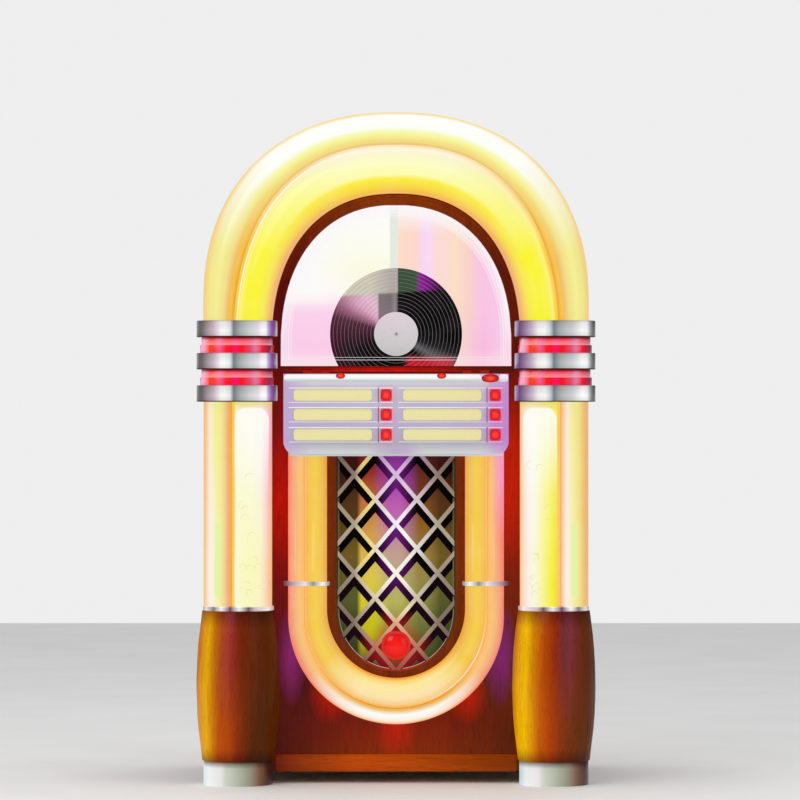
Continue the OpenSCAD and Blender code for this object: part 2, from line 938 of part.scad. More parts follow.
module drive_hub() {
    tip_l = 5;
    seat_y = record_front_y + record_t + hub_t / 2;
    color("gray")
        union() {
            rod_y(0, spindle_z, hub_r, record_front_y + record_t, record_front_y + record_t + hub_t);
            rod_y(0, spindle_z, spindle_r, record_front_y - tip_l, seat_y);
            rod_y(0, spindle_z, hub_pulley_r, belt_y[0], belt_y[1]);
            rod_y(0, spindle_z, shaft_r, seat_y, spindle_end_y);
        }
}

module record() {
    grooves = 10;
    groove_in = 56;
    groove_pitch = 9;
    groove_w = 1;
    groove_depth = 0.3;
    color("black")
        difference() {
            rod_y(0, spindle_z, record_r, record_front_y, record_front_y + record_t);
            rod_y(0, spindle_z, spindle_r, record_front_y - slop, record_front_y + record_t + slop);
            for (i = [0:grooves - 1])
                translate([0, record_front_y, spindle_z])
                    rotate([-90, 0, 0])
                        rotate_extrude($fn = sweep_fn)
                            translate([groove_in + i * groove_pitch, -slop])
                                square([groove_w, slop + groove_depth]);
        }
}

module record_label() {
    label_r = 50;
    label_t = 0.5;
    color("lightgray")
        difference() {
            rod_y(0, spindle_z, label_r, record_front_y - label_t, record_front_y);
            rod_y(0, spindle_z, spindle_r, record_front_y - slop, record_front_y + slop);
        }
}

module tonearm() {
    arm_y = [-143.4, -138];
    pivot_r = 11;
    arm_half_w = 4;
    head_half_w = 8;
    head_x = [tonearm_l - 20, tonearm_l + 6];
    weight_x = [-30, -8];
    color("silver")
        translate([tonearm_pivot[0], 0, tonearm_pivot[1]])
            rotate([0, -tonearm_rest, 0])
                difference() {
                    union() {
                        rod_y(0, 0, pivot_r, arm_y[0], arm_y[1]);
                        block([0, arm_y[0] + 1, -arm_half_w], [head_x[0] + 6, arm_y[1] - 1, arm_half_w]);
                        for (x = [head_x, weight_x])
                            block([x[0], arm_y[0] + 0.5, -head_half_w], [x[1], arm_y[1], head_half_w]);
                    }
                    rod_y(0, 0, arm_pin_r + pin_gap, arm_y[0] - slop, arm_y[1] + slop);
                }
}

module drive_motor() {
    motor_r = 34;
    motor_l = 56;
    ear_x = 42;
    ear_half = [10, 12];
    ear_t = 5;
    color("dimgray")
        union() {
            rod_y(0, motor_z, motor_r, deck_y[1], deck_y[1] + motor_l);
            for (s = sides)
                block([s * ear_x - ear_half[0], deck_y[1], motor_z - ear_half[1]],
                    [s * ear_x + ear_half[0], deck_y[1] + ear_t, motor_z + ear_half[1]]);
            rod_y(0, motor_z, motor_pilot_r, deck_y[0], deck_y[1]);
            rod_y(0, motor_z, motor_shaft_r, belt_y[0] - slop, deck_y[0]);
        }
}

module motor_pulley() {
    flywheel_t = 6;
    color("goldenrod")
        difference() {
            union() {
                rod_y(0, motor_z, motor_pulley_r, belt_y[0], belt_y[1]);
                rod_y(0, motor_z, flywheel_r, belt_y[1], belt_y[1] + flywheel_t);
            }
            rod_y(0, motor_z, motor_shaft_r + pin_gap, belt_y[0] - slop, belt_y[1] + flywheel_t + slop);
        }
}

// Outline of the belt's outer or inner face round both pulleys
module belt_outline(grow) {
    r1 = motor_pulley_r + grow;
    r2 = hub_pulley_r + grow;
    span = spindle_z - motor_z;
    lean = asin((r2 - r1) / span);
    translate([0, motor_z])
        circle(r1);
    translate([0, spindle_z])
        circle(r2);
    polygon([[r1 * cos(lean), motor_z - r1 * sin(lean)], [r2 * cos(lean), spindle_z - r2 * sin(lean)],
        [-r2 * cos(lean), spindle_z - r2 * sin(lean)], [-r1 * cos(lean), motor_z - r1 * sin(lean)]]);
}

module drive_belt() {
    color("black")
        slab(belt_y[0] + 1, belt_y[1] - 1)
            difference() {
                belt_outline(pin_gap + belt_t);
                belt_outline(pin_gap);
            }
}

magazine_l = stored_count * magazine_pitch + 6;
first_record_y = magazine_y + 5;

module record_magazine() {
    half_w = rail_x + 16;
    base_z = [rail_z - 14, rail_z + 30];
    rack_x = 110;
    rack_half_t = 4;
    color("steelblue")
        difference() {
            union() {
                block([-half_w, magazine_y, base_z[0]], [half_w, magazine_y + magazine_l, base_z[1]]);
                for (s = sides)
                    block([s * rack_x - rack_half_t, magazine_y, base_z[1] - slop],
                        [s * rack_x + rack_half_t, magazine_y + magazine_l, magazine_z]);
            }
            for (s = sides)
                rod_y(s * rail_x, rail_z, rail_r + pin_gap,
                    magazine_y - slop, magazine_y + magazine_l + slop);
            stored_records();
        }
}

module stored_records() {
    color("black")
        for (y = [first_record_y:magazine_pitch:magazine_y + magazine_l - record_t])
            rod_y(0, magazine_z, record_r, y, y + record_t);
}

module magazine_rails() {
    rail_y = [10, 255];
    post_t = 6;
    post_half_w = 14;
    color("silver")
        for (s = sides) {
            rod_y(s * rail_x, rail_z, rail_r, rail_y[0], rail_y[1]);
            for (y = [rail_y[0] - post_t, rail_y[1]])
                block([s * rail_x - post_half_w, y, cab_bottom + wall_t],
                    [s * rail_x + post_half_w, y + post_t, rail_z + post_half_w]);
        }
}

amp_y = [-60, 120];
amp_x = [-100, 100];
amp_z = [cab_bottom + wall_t, 107];
volume_at = [60, 80];
volume_shaft_r = 4;

module amplifier_chassis() {
    sheet_t = 3;
    color("silver")
        difference() {
            block([amp_x[0], amp_y[0], amp_z[0]], [amp_x[1], amp_y[1], amp_z[1]]);
            block([amp_x[0] + sheet_t, amp_y[0] + sheet_t, amp_z[0] - slop],
                [amp_x[1] - sheet_t, amp_y[1] - sheet_t, amp_z[1] - sheet_t]);
            rod_y(volume_at[0], volume_at[1], volume_shaft_r + pin_gap,
                amp_y[1] - 2 * sheet_t, amp_y[1] + slop);
        }
}

module valves() {
    base_h = 12;
    base_r = 17;
    bulb_h = 50;
    bulb_r = 15;
    color("lightblue")
        for (x = [-75, -32], y = [-20, 50])
            translate([x, y, amp_z[1]]) {
                cylinder(h = base_h, r = base_r);
                translate([0, 0, base_h])
                    cylinder(h = bulb_h, r = bulb_r);
                translate([0, 0, base_h + bulb_h])
                    sphere(bulb_r);
            }
}

module transformer() {
    core_x = [8, 84];
    core_half_l = 28;
    core_h = 62;
    color("black")
        for (y = [-10, 75])
            block([core_x[0], y - core_half_l, amp_z[1]],
                [core_x[1], y + core_half_l, amp_z[1] + core_h]);
}

module volume_knob() {
    knob_r = 14;
    knob_y = [amp_y[1] + 0.5, amp_y[1] + 16];
    shaft_l = 12;
    mark_half_w = 1;
    mark_l = 13;
    color("black")
        union() {
            rod_y(volume_at[0], volume_at[1], knob_r, knob_y[0], knob_y[1]);
            rod_y(volume_at[0], volume_at[1], volume_shaft_r, amp_y[1] - shaft_l, knob_y[1] - slop);
            block([volume_at[0] - mark_half_w, knob_y[1] - 2 * slop, volume_at[1]],
                [volume_at[0] + mark_half_w, knob_y[1] + slop, volume_at[1] + mark_l]);
        }
}

module lamp_tubes() {
    mid = (cover_in_x + cover_out_x) / 2;
    lamp_r = 13;
    pillar_lamp_out = 24;
    top_lamp_in = 14;
    top_lamp_z = 912;
    top_lamp_half_l = 263;
    color("white") {
        for (s = sides)
            translate([s * mid, front_y - pillar_lamp_out, pillar_bottom])
                cylinder(h = stack_bottom - pillar_bottom, r = lamp_r);
        rod_x(panel_back_y + top_lamp_in, top_lamp_z, lamp_r, -top_lamp_half_l, top_lamp_half_l);
    }
}

module display_backdrop() {
    backdrop_y = [-100, -96];
    backdrop_edge = [300, 370, 2.26, 985.5];
    backdrop_bottom = 932;
    bracket_x = 304;
    bracket_half_w = 6;
    bracket_top = 990;
    color("lavenderblush")
        union() {
            slab(backdrop_y[0], backdrop_y[1])
                arch_outline(backdrop_edge, backdrop_bottom);
            for (s = sides)
                block([s * bracket_x - bracket_half_w, panel_back_y, backdrop_bottom],
                    [s * bracket_x + bracket_half_w, backdrop_y[1], bracket_top]);
        }
}

hinge_z = [200, 600, 1000];     // bottoms of the rear door's hinge barrels
hinge_barrel_h = 40;
hinge_r = 5;
hinge_pin_r = 2.5;
leaf_t = 2.5;

module rear_door() {
    leaf_w = 30;
    slots = 8;
    slot_z = 300;
    slot_pitch = 24;
    slot_size = [260, 10];
    slot_corner = 4.9;
    color("peru")
        difference() {
            union() {
                slab(back_y - board_t, back_y)
                    arch_outline(rear_door_edge, rear_door_bottom);
                for (z = hinge_z) {
                    translate([door_hinge[0], door_hinge[1], z])
                        cylinder(h = hinge_barrel_h, r = hinge_r);
                    block([door_hinge[0], back_y - slop, z],
                        [door_hinge[0] + leaf_w, back_y + leaf_t, z + hinge_barrel_h]);
                }
            }
            for (z = hinge_z)
                translate([door_hinge[0], door_hinge[1], z - slop])
                    cylinder(h = hinge_barrel_h + 2 * slop, r = hinge_pin_r + pin_gap);
            for (i = [0:slots - 1])
                slab(back_y - board_t - slop, back_y + slop)
                    translate([0, slot_z + i * slot_pitch])
                        rounded_rect(slot_size[0], slot_size[1], slot_corner);
            rod_y(latch_at[0], latch_at[1], latch_shaft_r + pin_gap, back_y - board_t - slop, back_y + slop);
        }
}

module rear_hinges() {
    fixed_h = 20;
    fixed_gap = 0.5;
    wing_w = 18;
    color("gray")
        for (z = hinge_z) {
            translate([door_hinge[0], door_hinge[1], z - fixed_h])
                cylinder(h = fixed_h + hinge_barrel_h, r = hinge_pin_r);
            translate([door_hinge[0], door_hinge[1], z - fixed_h - fixed_gap])
                cylinder(h = fixed_h, r = hinge_r);
            block([door_hinge[0] - wing_w, back_y, z - fixed_h - fixed_gap],
                [door_hinge[0], back_y + leaf_t, z - fixed_gap]);
        }
}

module rear_latch() {
    cam_y = back_y - board_t - 6;
    cam_t = 5;
    cam_half_w = 6;
    cam_l = 30;
    boss_r = 13;
    boss_y = [back_y + 0.5, back_y + 12];
    handle_half_w = 7;
    handle_l = 56;
    handle_y = [boss_y[1] - 2, boss_y[1] + 8];
    color("black")
        translate([latch_at[0], 0, latch_at[1]])
            union() {
                rod_y(0, 0, latch_shaft_r, cam_y, boss_y[1] - slop);
                rod_y(0, 0, boss_r, boss_y[0], boss_y[1]);
                block([-handle_half_w, handle_y[0], -handle_l], [handle_half_w, handle_y[1], 0]);
                block([-cam_half_w, cam_y, -cam_l], [cam_half_w, cam_y + cam_t, 0]);
            }
}

module power_inlet() {
    body_y = [190, 250];
    body_z = [90, 130];
    body_t = 8;
    hole_in = [15, 8];
    hole_floor = 2;
    color("black")
        difference() {
            block([cab_half_w, body_y[0], body_z[0]], [cab_half_w + body_t, body_y[1], body_z[1]]);
            block([cab_half_w + hole_floor, body_y[0] + hole_in[0], body_z[0] + hole_in[1]],
                [cab_half_w + body_t + slop, body_y[1] - hole_in[0], body_z[1] - hole_in[1]]);
        }
}

cabinet_shell();
floor_board();
front_panel();
plinth_rail();
left_barrel();
right_barrel();
front_feet();
rear_feet();
arch_light_cover();
arch_bubble_tube();
pillar_light_covers();
pillar_bubble_tubes();
chrome_bands();
red_bands();
tube_rings();
window_surround();
window_frame();
window_glass();
window_hinges();
title_panel();
title_cards();
select_button_1();
select_button_2();
select_button_3();
select_button_4();
select_button_5();
select_button_6();
cancel_button();
pilot_jewels();
play_button();
grille_light_cover();
grille_bubble_tube();
grille_frame();
grille_lattice();
grille_cloth();
speaker_frame();
speaker_cone();
speaker_magnet();
speaker_screws();
mechanism_deck();
drive_hub();
record();
record_label();
tonearm();
drive_motor();
motor_pulley();
drive_belt();
record_magazine();
stored_records();
magazine_rails();
amplifier_chassis();
valves();
transformer();
volume_knob();
lamp_tubes();
display_backdrop();
rear_door();
rear_hinges();
rear_latch();
power_inlet();
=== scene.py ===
"""Looks for the arched jukebox: materials, smooth shells and light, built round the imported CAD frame."""
import json
import math
import random

import bmesh
import bpy
from mathutils import Matrix, Vector


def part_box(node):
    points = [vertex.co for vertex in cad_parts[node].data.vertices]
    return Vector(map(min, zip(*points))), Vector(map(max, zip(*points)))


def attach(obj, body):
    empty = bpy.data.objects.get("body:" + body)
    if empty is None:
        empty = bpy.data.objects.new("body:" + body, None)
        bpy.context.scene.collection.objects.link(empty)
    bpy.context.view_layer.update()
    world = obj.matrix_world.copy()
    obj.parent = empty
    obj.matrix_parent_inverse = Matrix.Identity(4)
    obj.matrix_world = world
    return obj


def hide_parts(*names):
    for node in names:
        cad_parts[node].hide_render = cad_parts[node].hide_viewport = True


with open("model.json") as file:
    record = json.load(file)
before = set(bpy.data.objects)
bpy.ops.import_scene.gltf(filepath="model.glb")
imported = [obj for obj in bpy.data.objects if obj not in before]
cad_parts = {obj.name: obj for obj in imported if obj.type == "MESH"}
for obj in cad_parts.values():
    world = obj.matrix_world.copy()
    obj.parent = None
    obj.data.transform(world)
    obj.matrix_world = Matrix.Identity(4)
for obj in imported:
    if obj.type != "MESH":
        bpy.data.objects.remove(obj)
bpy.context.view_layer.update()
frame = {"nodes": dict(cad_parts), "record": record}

NODES = frame["nodes"]
BODY_OF = {n: b for b, names in frame["record"]["behaviour"]["bodies"].items() for n in names}
FRONT_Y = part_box("front_panel")[0].y          # the cabinet's front face
RNG = random.Random(7)


# ---------------------------------------------------------------- colour and shader helpers
def lin(*rgb):
    """A display colour, 0 to 255 a channel, as linear RGBA."""
    def one(c):
        c = c / 255
        return c / 12.92 if c <= 0.04045 else ((c + 0.055) / 1.055) ** 2.4
    return (one(rgb[0]), one(rgb[1]), one(rgb[2]), 1.0)


BLACK = (0.0, 0.0, 0.0, 1.0)
INPUTS = {"metal": "Metallic", "rough": "Roughness", "normal": "Normal", "coat": "Coat Weight",
          "coat_rough": "Coat Roughness", "alpha": "Alpha", "sheen": "Sheen Weight",
          "specular": "Specular IOR Level"}


class Shader:
    """A node material under construction. Inputs may be values or other nodes' sockets."""

    def __init__(self, name):
        self.mat = bpy.data.materials.new(name)
        self.mat.use_nodes = True
        self.tree = self.mat.node_tree
        self.tree.nodes.clear()
        self.out = self.tree.nodes.new("ShaderNodeOutputMaterial")
        self.coord = self.tree.nodes.new("ShaderNodeTexCoord").outputs["Object"]

    def add(self, kind, inputs=None, **settings):
        n = self.tree.nodes.new("ShaderNode" + kind)
        for key, value in settings.items():
            setattr(n, key, value)
        for key, value in (inputs or {}).items():
            self.put(n.inputs[key], value)
        return n

    def put(self, socket, value):
        if isinstance(value, bpy.types.NodeSocket):
            self.tree.links.new(value, socket)
        else:
            socket.default_value = value

    def math(self, op, a, b=0.0):
        n = self.add("Math", operation=op)
        self.put(n.inputs[0], a)
        self.put(n.inputs[1], b)
        return n.outputs[0]

    def times(self, first, *others):
        for other in others:
            first = self.math("MULTIPLY", first, other)
        return first

    def plus(self, first, *others):
        for other in others:
            first = self.math("ADD", first, other)
        return first

    def minus(self, a, b):
        return self.math("SUBTRACT", a, b)

    def over(self, a, b):
        return self.math("DIVIDE", a, b)

    def size(self, a):
        return self.math("ABSOLUTE", a)

    def gap(self, a, b):
        """How far apart two values are."""
        return self.size(self.minus(a, b))

    def length(self, a, b):
        """The length of the vector (a, b)."""
        return self.math("SQRT", self.plus(self.times(a, a), self.times(b, b)))

    def span(self, value, lo, hi, to_lo=0.0, to_hi=1.0):
        """value, mapped from lo..hi to to_lo..to_hi and clamped."""
        n = self.add("MapRange", {"Value": value, "From Min": lo, "From Max": hi,
                                  "To Min": to_lo, "To Max": to_hi}, clamp=True)
        return n.outputs["Result"]

    def fall(self, value, lo, hi):
        """1 up to lo, 0 from hi on."""
        return self.span(value, lo, hi, 1.0, 0.0)

    def vary(self, noise, lo, hi):
        """A value that wanders from lo to hi with a noise."""
        return self.span(noise, 0.3, 0.7, lo, hi)

    def axis(self, name, vector=None):
        return self.add("SeparateXYZ", {0: vector or self.coord}).outputs[name]

    def place(self, name):
        """Where a point lies on a made piece, as loft() and the sweeps stored it."""
        return self.axis(name, self.add("Attribute", attribute_name="place").outputs["Vector"])

    def facing(self, name):
        """A part of the surface's direction, in the object's own axes."""
        return self.axis(name, self.add("TexCoord").outputs["Normal"])

    def standing(self, name):
        """A world axis: a pattern made from it stays put while the piece turns under it."""
        return self.axis(name, self.add("NewGeometry").outputs["Position"])

    def mapped(self, scale):
        """The object's own coordinates, stretched for a pattern with a direction."""
        return self.add("Mapping", {"Vector": self.coord, "Scale": scale}).outputs[0]

    def noise(self, scale=5.0, detail=3.0, rough=0.5, vector=None, distort=0.0):
        n = self.add("TexNoise", {"Vector": vector or self.coord, "Scale": scale, "Detail": detail,
                                  "Roughness": rough, "Distortion": distort})
        return n.outputs["Fac"]

    def brushed(self):
        """Fine level lines, as on brushed enamel."""
        return self.noise(1.0, 2.0, 0.6, self.mapped((30.0, 30.0, 700.0)))

    def wobbled(self, value, amount):
        """A value pushed to and fro by a soft noise."""
        return self.plus(value, self.times(self.minus(self.noise(9.0, 2.0), 0.5), amount))

    def ramp(self, fac, stops):
        """A colour ramp from stops, each a place and a display colour: (place, red, green, blue)."""
        n = self.add("ValToRGB", {"Fac": fac})
        band = n.color_ramp
        band.elements.remove(band.elements[1])
        band.elements[0].position, band.elements[0].color = stops[0][0], lin(*stops[0][1:])
        for place, *rgb in stops[1:]:
            band.elements.new(place).color = lin(*rgb)
        return n.outputs["Color"]

    def mix(self, fac, a, b, mode="MIX"):
        n = self.add("Mix", data_type="RGBA", blend_type=mode, clamp_factor=True)
        self.put(n.inputs[0], fac)
        self.put(n.inputs[6], a)
        self.put(n.inputs[7], b)
        return n.outputs[2]

    def tint(self, colour, fac, *rgb):
        """A colour turned towards a display colour."""
        return self.mix(fac, colour, lin(*rgb))

    def bump(self, height, strength, distance):
        inputs = {"Height": height, "Strength": strength, "Distance": distance}
        return self.add("Bump", inputs).outputs["Normal"]

    def surface(self, colour, glow=0.0, **values):
        """Ends the material in one principled shader. glow is how much of the colour is given out as light,
        which is taken off the light thrown back."""
        shader = self.add("BsdfPrincipled")
        if glow:
            self.put(shader.inputs["Emission Color"], colour)
            self.put(shader.inputs["Emission Strength"], glow)
            colour = self.mix(glow, colour, BLACK)
        self.put(shader.inputs["Base Color"], colour)
        for key, value in values.items():
            self.put(shader.inputs[INPUTS[key]], value)
        self.tree.links.new(shader.outputs[0], self.out.inputs["Surface"])
        return self.mat


# ---------------------------------------------------------------- mesh helpers
def new_piece(name, mesh_or_bm, material, body="cabinet", smooth=True):
    """Adds a piece to the scene, riding on a body."""
    if isinstance(mesh_or_bm, bmesh.types.BMesh):
        mesh = bpy.data.meshes.new(name)
        bmesh.ops.recalc_face_normals(mesh_or_bm, faces=mesh_or_bm.faces)
        mesh_or_bm.to_mesh(mesh)
        mesh_or_bm.free()
    else:
        mesh = mesh_or_bm
    obj = bpy.data.objects.new(name, mesh)
    bpy.context.scene.collection.objects.link(obj)
    mesh.materials.clear()
    mesh.materials.append(material)
    if smooth:
        mesh.shade_smooth()
    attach(obj, body)
    return obj


def stand_in(node, ending, mesh_or_bm, material, smooth=True):
    """Adds a piece that is shown in place of a CAD node, on the node's own body."""
    obj = new_piece(node + ending, mesh_or_bm, material, BODY_OF[node], smooth)
    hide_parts(node)
    return obj


FLAT_ANGLE, EDGE_ANGLE = math.radians(3.0), math.radians(28)    # faces that merge; edges that get rounded


def rounded(node, width, material):
    """Stands in for a CAD node with the same shape and bevelled edges."""
    source = NODES[node]
    bm = bmesh.new()
    bm.from_mesh(source.data)
    bmesh.ops.remove_doubles(bm, verts=bm.verts, dist=2e-6)
    bmesh.ops.dissolve_limit(bm, angle_limit=FLAT_ANGLE, verts=bm.verts, edges=bm.edges)
    bevel = stand_in(node, "_finish", bm, material).modifiers.new("edges", "BEVEL")
    bevel.width = width
    bevel.segments = 3
    bevel.limit_method = "ANGLE"
    bevel.angle_limit = EDGE_ANGLE
    bevel.use_clamp_overlap = True
    bevel.harden_normals = True
    bevel.miter_outer = "MITER_ARC"


def dress(node, material):
    """Gives a carried-over CAD node a new material."""
    slots = NODES[node].data.materials
    slots.clear()
    slots.append(material)


def loft(rings, glow=None, into=None):
    """A capped mesh through rings of points. glow gives each point's place on the piece: (across, along)."""
    bm = into or bmesh.new()
    layer = bm.verts.layers.float_vector.get("place") or bm.verts.layers.float_vector.new("place")
    rows = []
    for i, ring in enumerate(rings):
        row = []
        for j, p in enumerate(ring):
            v = bm.verts.new(p)
            if glow:
                across, along = glow[i][j]
                v[layer] = (across, along, 0)
            row.append(v)
        rows.append(row)
    count = len(rows[0])
    for a, b in zip(rows, rows[1:]):
        for j in range(count):
            k = (j + 1) % count
            bm.faces.new((a[j], a[k], b[k], b[j]))
    bm.faces.new(rows[0])
    bm.faces.new(list(reversed(rows[-1])))
    return bm


# ---------------------------------------------------------------- arch curves, as in the CAD design
# Each curve is (half width, rise, power, spring height), in metres
COVER_LO, COVER_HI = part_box("arch_light_cover")
TUBE_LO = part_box("arch_bubble_tube")[0]
ARCH_BASE = COVER_LO.z
OUTER_SPRING = 1.0868
OUTER = (COVER_HI.x, COVER_HI.z - OUTER_SPRING, 2.24, OUTER_SPRING)
DIVISION = (0.3668, 0.4579, 2.38, 0.9833)
TUBE_EDGE = (0.2797, 0.3409, 2.28, 0.990)
WINDOW = (0.261, 0.3218, 2.26, 0.9855)


def reach(curve, t):
    """Distance from the arch's centre to a curve along direction t, by halving."""
    half_w, rise, power, spring = curve
    lo, hi = 0.1, 0.7
    for _ in range(30):
        mid = (lo + hi) / 2
        x = abs(mid * math.cos(t)) / half_w
        z = max(0.0, ARCH_BASE + mid * math.sin(t) - spring) / rise
        if x ** power + z ** power > 1:
            hi = mid
        else:
            lo = mid
    return (lo + hi) / 2


def cover_section(half_w, depth, wall=0.003, steps=22):
    """Section of a light cover as (across, y): out over the front, and back inside the wall."""
    outside = [(half_w * math.cos(math.pi * i / steps), FRONT_Y - depth * math.sin(math.pi * i / steps))
               for i in range(steps + 1)]
    inside = [((half_w - wall) * math.cos(math.pi * i / steps),
               FRONT_Y - (depth - wall) * math.sin(math.pi * i / steps)) for i in range(steps, -1, -1)]
    return outside + inside


def tube_section(half_w, depth, steps=44):
    """Section of a bubble tube as (across, y): a closed ellipse that rests on the front face."""
    return [(half_w * math.cos(2 * math.pi * i / steps),
             FRONT_Y - depth / 2 - depth / 2 * math.sin(2 * math.pi * i / steps)) for i in range(steps)]


def arch_sweep(inner, outer, section, depth, steps=144):
    """Sweeps a section between two arch curves; place.x runs 0 to 1 from the inner edge to the outer."""
    rings, places = [], []
    for i in range(steps + 1):
        t = math.pi * i / steps
        r_in, r_out = reach(inner, t), reach(outer, t)
        mid, half_w = (r_in + r_out) / 2, (r_out - r_in) / 2
        points = section(half_w, depth)
        rings.append([((mid + a) * math.cos(t), y, ARCH_BASE + (mid + a) * math.sin(t)) for a, y in points])
        places.append([(0.5 + 0.5 * a / half_w, i / steps) for a, y in points])
    return loft(rings, glow=places)


def straight_sweep(bm, x_mid, half_w, section, depth, z0, z1, outward):
    """A straight pillar piece; place.x runs 0 to 1 away from the middle of the jukebox."""
    points = section(half_w, depth)
    heights = [z0, z0 + 0.002, z1 - 0.002, z1]
    rings = [[(x_mid + a, y, z) for a, y in points] for z in heights]
    places = [[(0.5 + 0.5 * outward * a / half_w, (z - z0) / (z1 - z0)) for a, y in points] for z in heights]
    return loft(rings, glow=places, into=bm)


# ---------------------------------------------------------------- materials
def finish_plastic(s, colour):
    """Ends a lit plastic: a faint cloud in the colour, and a smooth glossy skin."""
    cloudy = s.noise(16.0, 4.0, 0.6)
    colour = s.tint(colour, s.span(cloudy, 0.35, 0.75, 0.0, 0.08), 255, 250, 225)
    fine = s.noise(420.0, 2.0)
    return s.surface(colour=colour, glow=0.85, rough=s.vary(fine, 0.16, 0.24), coat=0.15, coat_rough=0.06,
                     specular=0.15, normal=s.bump(s.noise(60.0, 2.0), 0.05, 0.002))


def lit_plastic(name, low, high, change, line=None, pink=0.0):
    """Translucent plastic lit from inside. low and high are colour stops across the piece, near its foot
    and near its top; change says where along the piece one turns into the other. line puts a thin bright
    streak of painted highlight at a place across one side: (place, side, fades in from x, to x). pink tints
    the upper right."""
    s = Shader(name)
    across, along = s.place("X"), s.place("Y")
    rise = s.minus(1.0, s.gap(s.times(along, 2.0), 1.0))
    moved = s.wobbled(across, 0.06)
    colour = s.mix(s.span(rise, *change), s.ramp(moved, low), s.ramp(moved, high))
    # a thin painted highlight along one side
    if line:
        at, side, x_from, x_to = line
        thin = s.span(s.gap(across, at), 0.008, 0.018, 0.9, 0.0)
        thin = s.times(thin, s.span(s.times(s.axis("X"), side), x_from, x_to))
        if side > 0:
            thin = s.times(thin, s.span(s.axis("Z"), 0.4, 0.3))
        colour = s.tint(colour, thin, 255, 255, 244)
    if pink:
        high = s.times(s.span(s.axis("Z"), 0.42, 0.6), s.span(across, 0.25, 0.8))
        right = s.times(high, s.span(s.axis("X"), -0.02, 0.02), pink)
        tinted = s.mix(s.span(s.axis("Z"), 0.55, 0.7), lin(255, 130, 120), lin(252, 160, 214))
        colour = s.mix(right, colour, tinted)
    return finish_plastic(s, colour)


def pillar_plastic(name, left, right, glare=None, tint=None):
    """Pillar plastic, lit differently on the left and the right of the jukebox. glare is a tall pale panel of
    painted reflection, as (from, to) across; tint is a faint green strip of painted highlight lower down, as
    (from, to) across."""
    s = Shader(name)
    x, z = s.axis("X"), s.axis("Z")
    across = s.wobbled(s.place("X"), 0.04)
    on_right = s.math("GREATER_THAN", x, 0.0)
    low = s.mix(on_right, s.ramp(across, left[0]), s.ramp(across, right[0]))
    high = s.mix(on_right, s.ramp(across, left[1]), s.ramp(across, right[1]))
    colour = s.mix(s.span(z, 0.5, 0.8), low, high)
    # painted reflection: a pale panel with rounded top corners, and yellow painted just above it
    if glare:
        middle, half = (glare[0] + glare[1]) / 2, (glare[1] - glare[0]) / 2
        away = s.over(s.gap(across, middle), half)
        corner = s.times(s.math("POWER", away, 5.0), 0.022)
        top = s.fall(s.plus(z, corner), 0.846, 0.851)
        panel = s.times(top, s.fall(away, 0.97, 1.03), s.span(z, 0.66, 0.84))
        colour = s.tint(colour, s.times(panel, 0.92), 255, 255, 246)
        above = s.times(s.span(z, 0.835, 0.862), s.minus(1.0, panel))
        colour = s.tint(colour, s.times(above, 0.75), 232, 214, 70)
    # painted highlight: a faint green strip lower down
    if tint:
        strip = s.times(s.span(across, tint[0], tint[0] + 0.06),
                        s.fall(across, tint[1] - 0.06, tint[1]))
        level = s.times(s.span(z, 0.596, 0.586), s.span(z, 0.418, 0.428))
        colour = s.tint(colour, s.times(strip, level, 0.75), 224, 246, 164)
    return finish_plastic(s, colour)


def lacquered_wood(name, colour_of, grain, contrast, gloss, coat, power=0.0):
    """Wood under lacquer. colour_of(shader) gives the base colour; grain is the stretch of the figure. power
    is how much of the colour the faces turned to the front give out as painted light.
    """
    s = Shader(name)
    base = colour_of(s)
    figure = s.noise(1.0, 6.0, 0.62, s.mapped(grain), 0.6)
    pores = s.noise(1.0, 3.0, 0.7, s.mapped(tuple(g * 7 for g in grain)))
    shade = s.span(figure, 0.32, 0.72, 1.0 - contrast, 1.0 + contrast * 0.35)
    dark = s.mix(s.span(pores, 0.52, 0.70, 0.0, 0.45), base, s.mix(0.75, base, BLACK))
    tone = s.add("CombineColor", {0: shade, 1: shade, 2: shade}).outputs[0]
    colour = s.mix(1.0, dark, tone, "MULTIPLY")
    glow = power
    if power:                                   # the faces turned to the back are plain, unlit wood
        back = s.span(s.facing("Y"), 0.3, 0.6)
        colour = s.mix(back, colour, s.mix(1.0, lin(112, 60, 36), tone, "MULTIPLY"))
        glow = s.span(back, 0.0, 1.0, power, 0.0)
    return s.surface(colour=colour, glow=glow, specular=0.2 - 0.15 * power,
                     rough=s.vary(figure, gloss, gloss + 0.14), coat=coat, coat_rough=0.12,
                     normal=s.bump(pores, 0.12, 0.0006))


def polished_metal(name, colour_of, rough, brush=(600.0, 600.0, 30.0), power=0.0, metal=1.0):
    """Polished or brushed metal with fine lines along one way. power is how much of the colour is given out
    as painted light.
    """
    s = Shader(name)
    lines = s.noise(1.0, 3.0, 0.6, s.mapped(brush))
    smudge = s.noise(14.0, 3.0)
    base = colour_of(s)
    colour = s.mix(s.span(smudge, 0.35, 0.75, 0.0, 0.12), base, s.mix(0.5, base, lin(120, 112, 120)))
    rough_value = s.plus(s.vary(lines, rough, rough + 0.06), s.span(smudge, 0.45, 0.8, 0.0, 0.08))
    return s.surface(colour=colour, metal=metal, rough=rough_value, glow=power,
                     normal=s.bump(lines, 0.03, 0.0002))


def painted(name, rgb, rough, fleck, strength, worn=0.12):
    """Paint, enamel or moulded plastic with an orange-peel skin and slightly uneven colour."""
    s = Shader(name)
    blotch = s.noise(9.0, 4.0)
    colour = s.mix(s.span(blotch, 0.3, 0.75, 0.0, worn * 2), lin(*rgb), lin(*[max(0, c * 0.62) for c in rgb]))
    skin = s.noise(fleck, 3.0)
    return s.surface(colour=colour, rough=s.vary(blotch, rough, rough + 0.12),
                     normal=s.bump(skin, strength, 0.0006))


def flat_colour(*rgb):
    """One colour, for the materials that take a colour-giving function."""
    return lambda s: lin(*rgb)
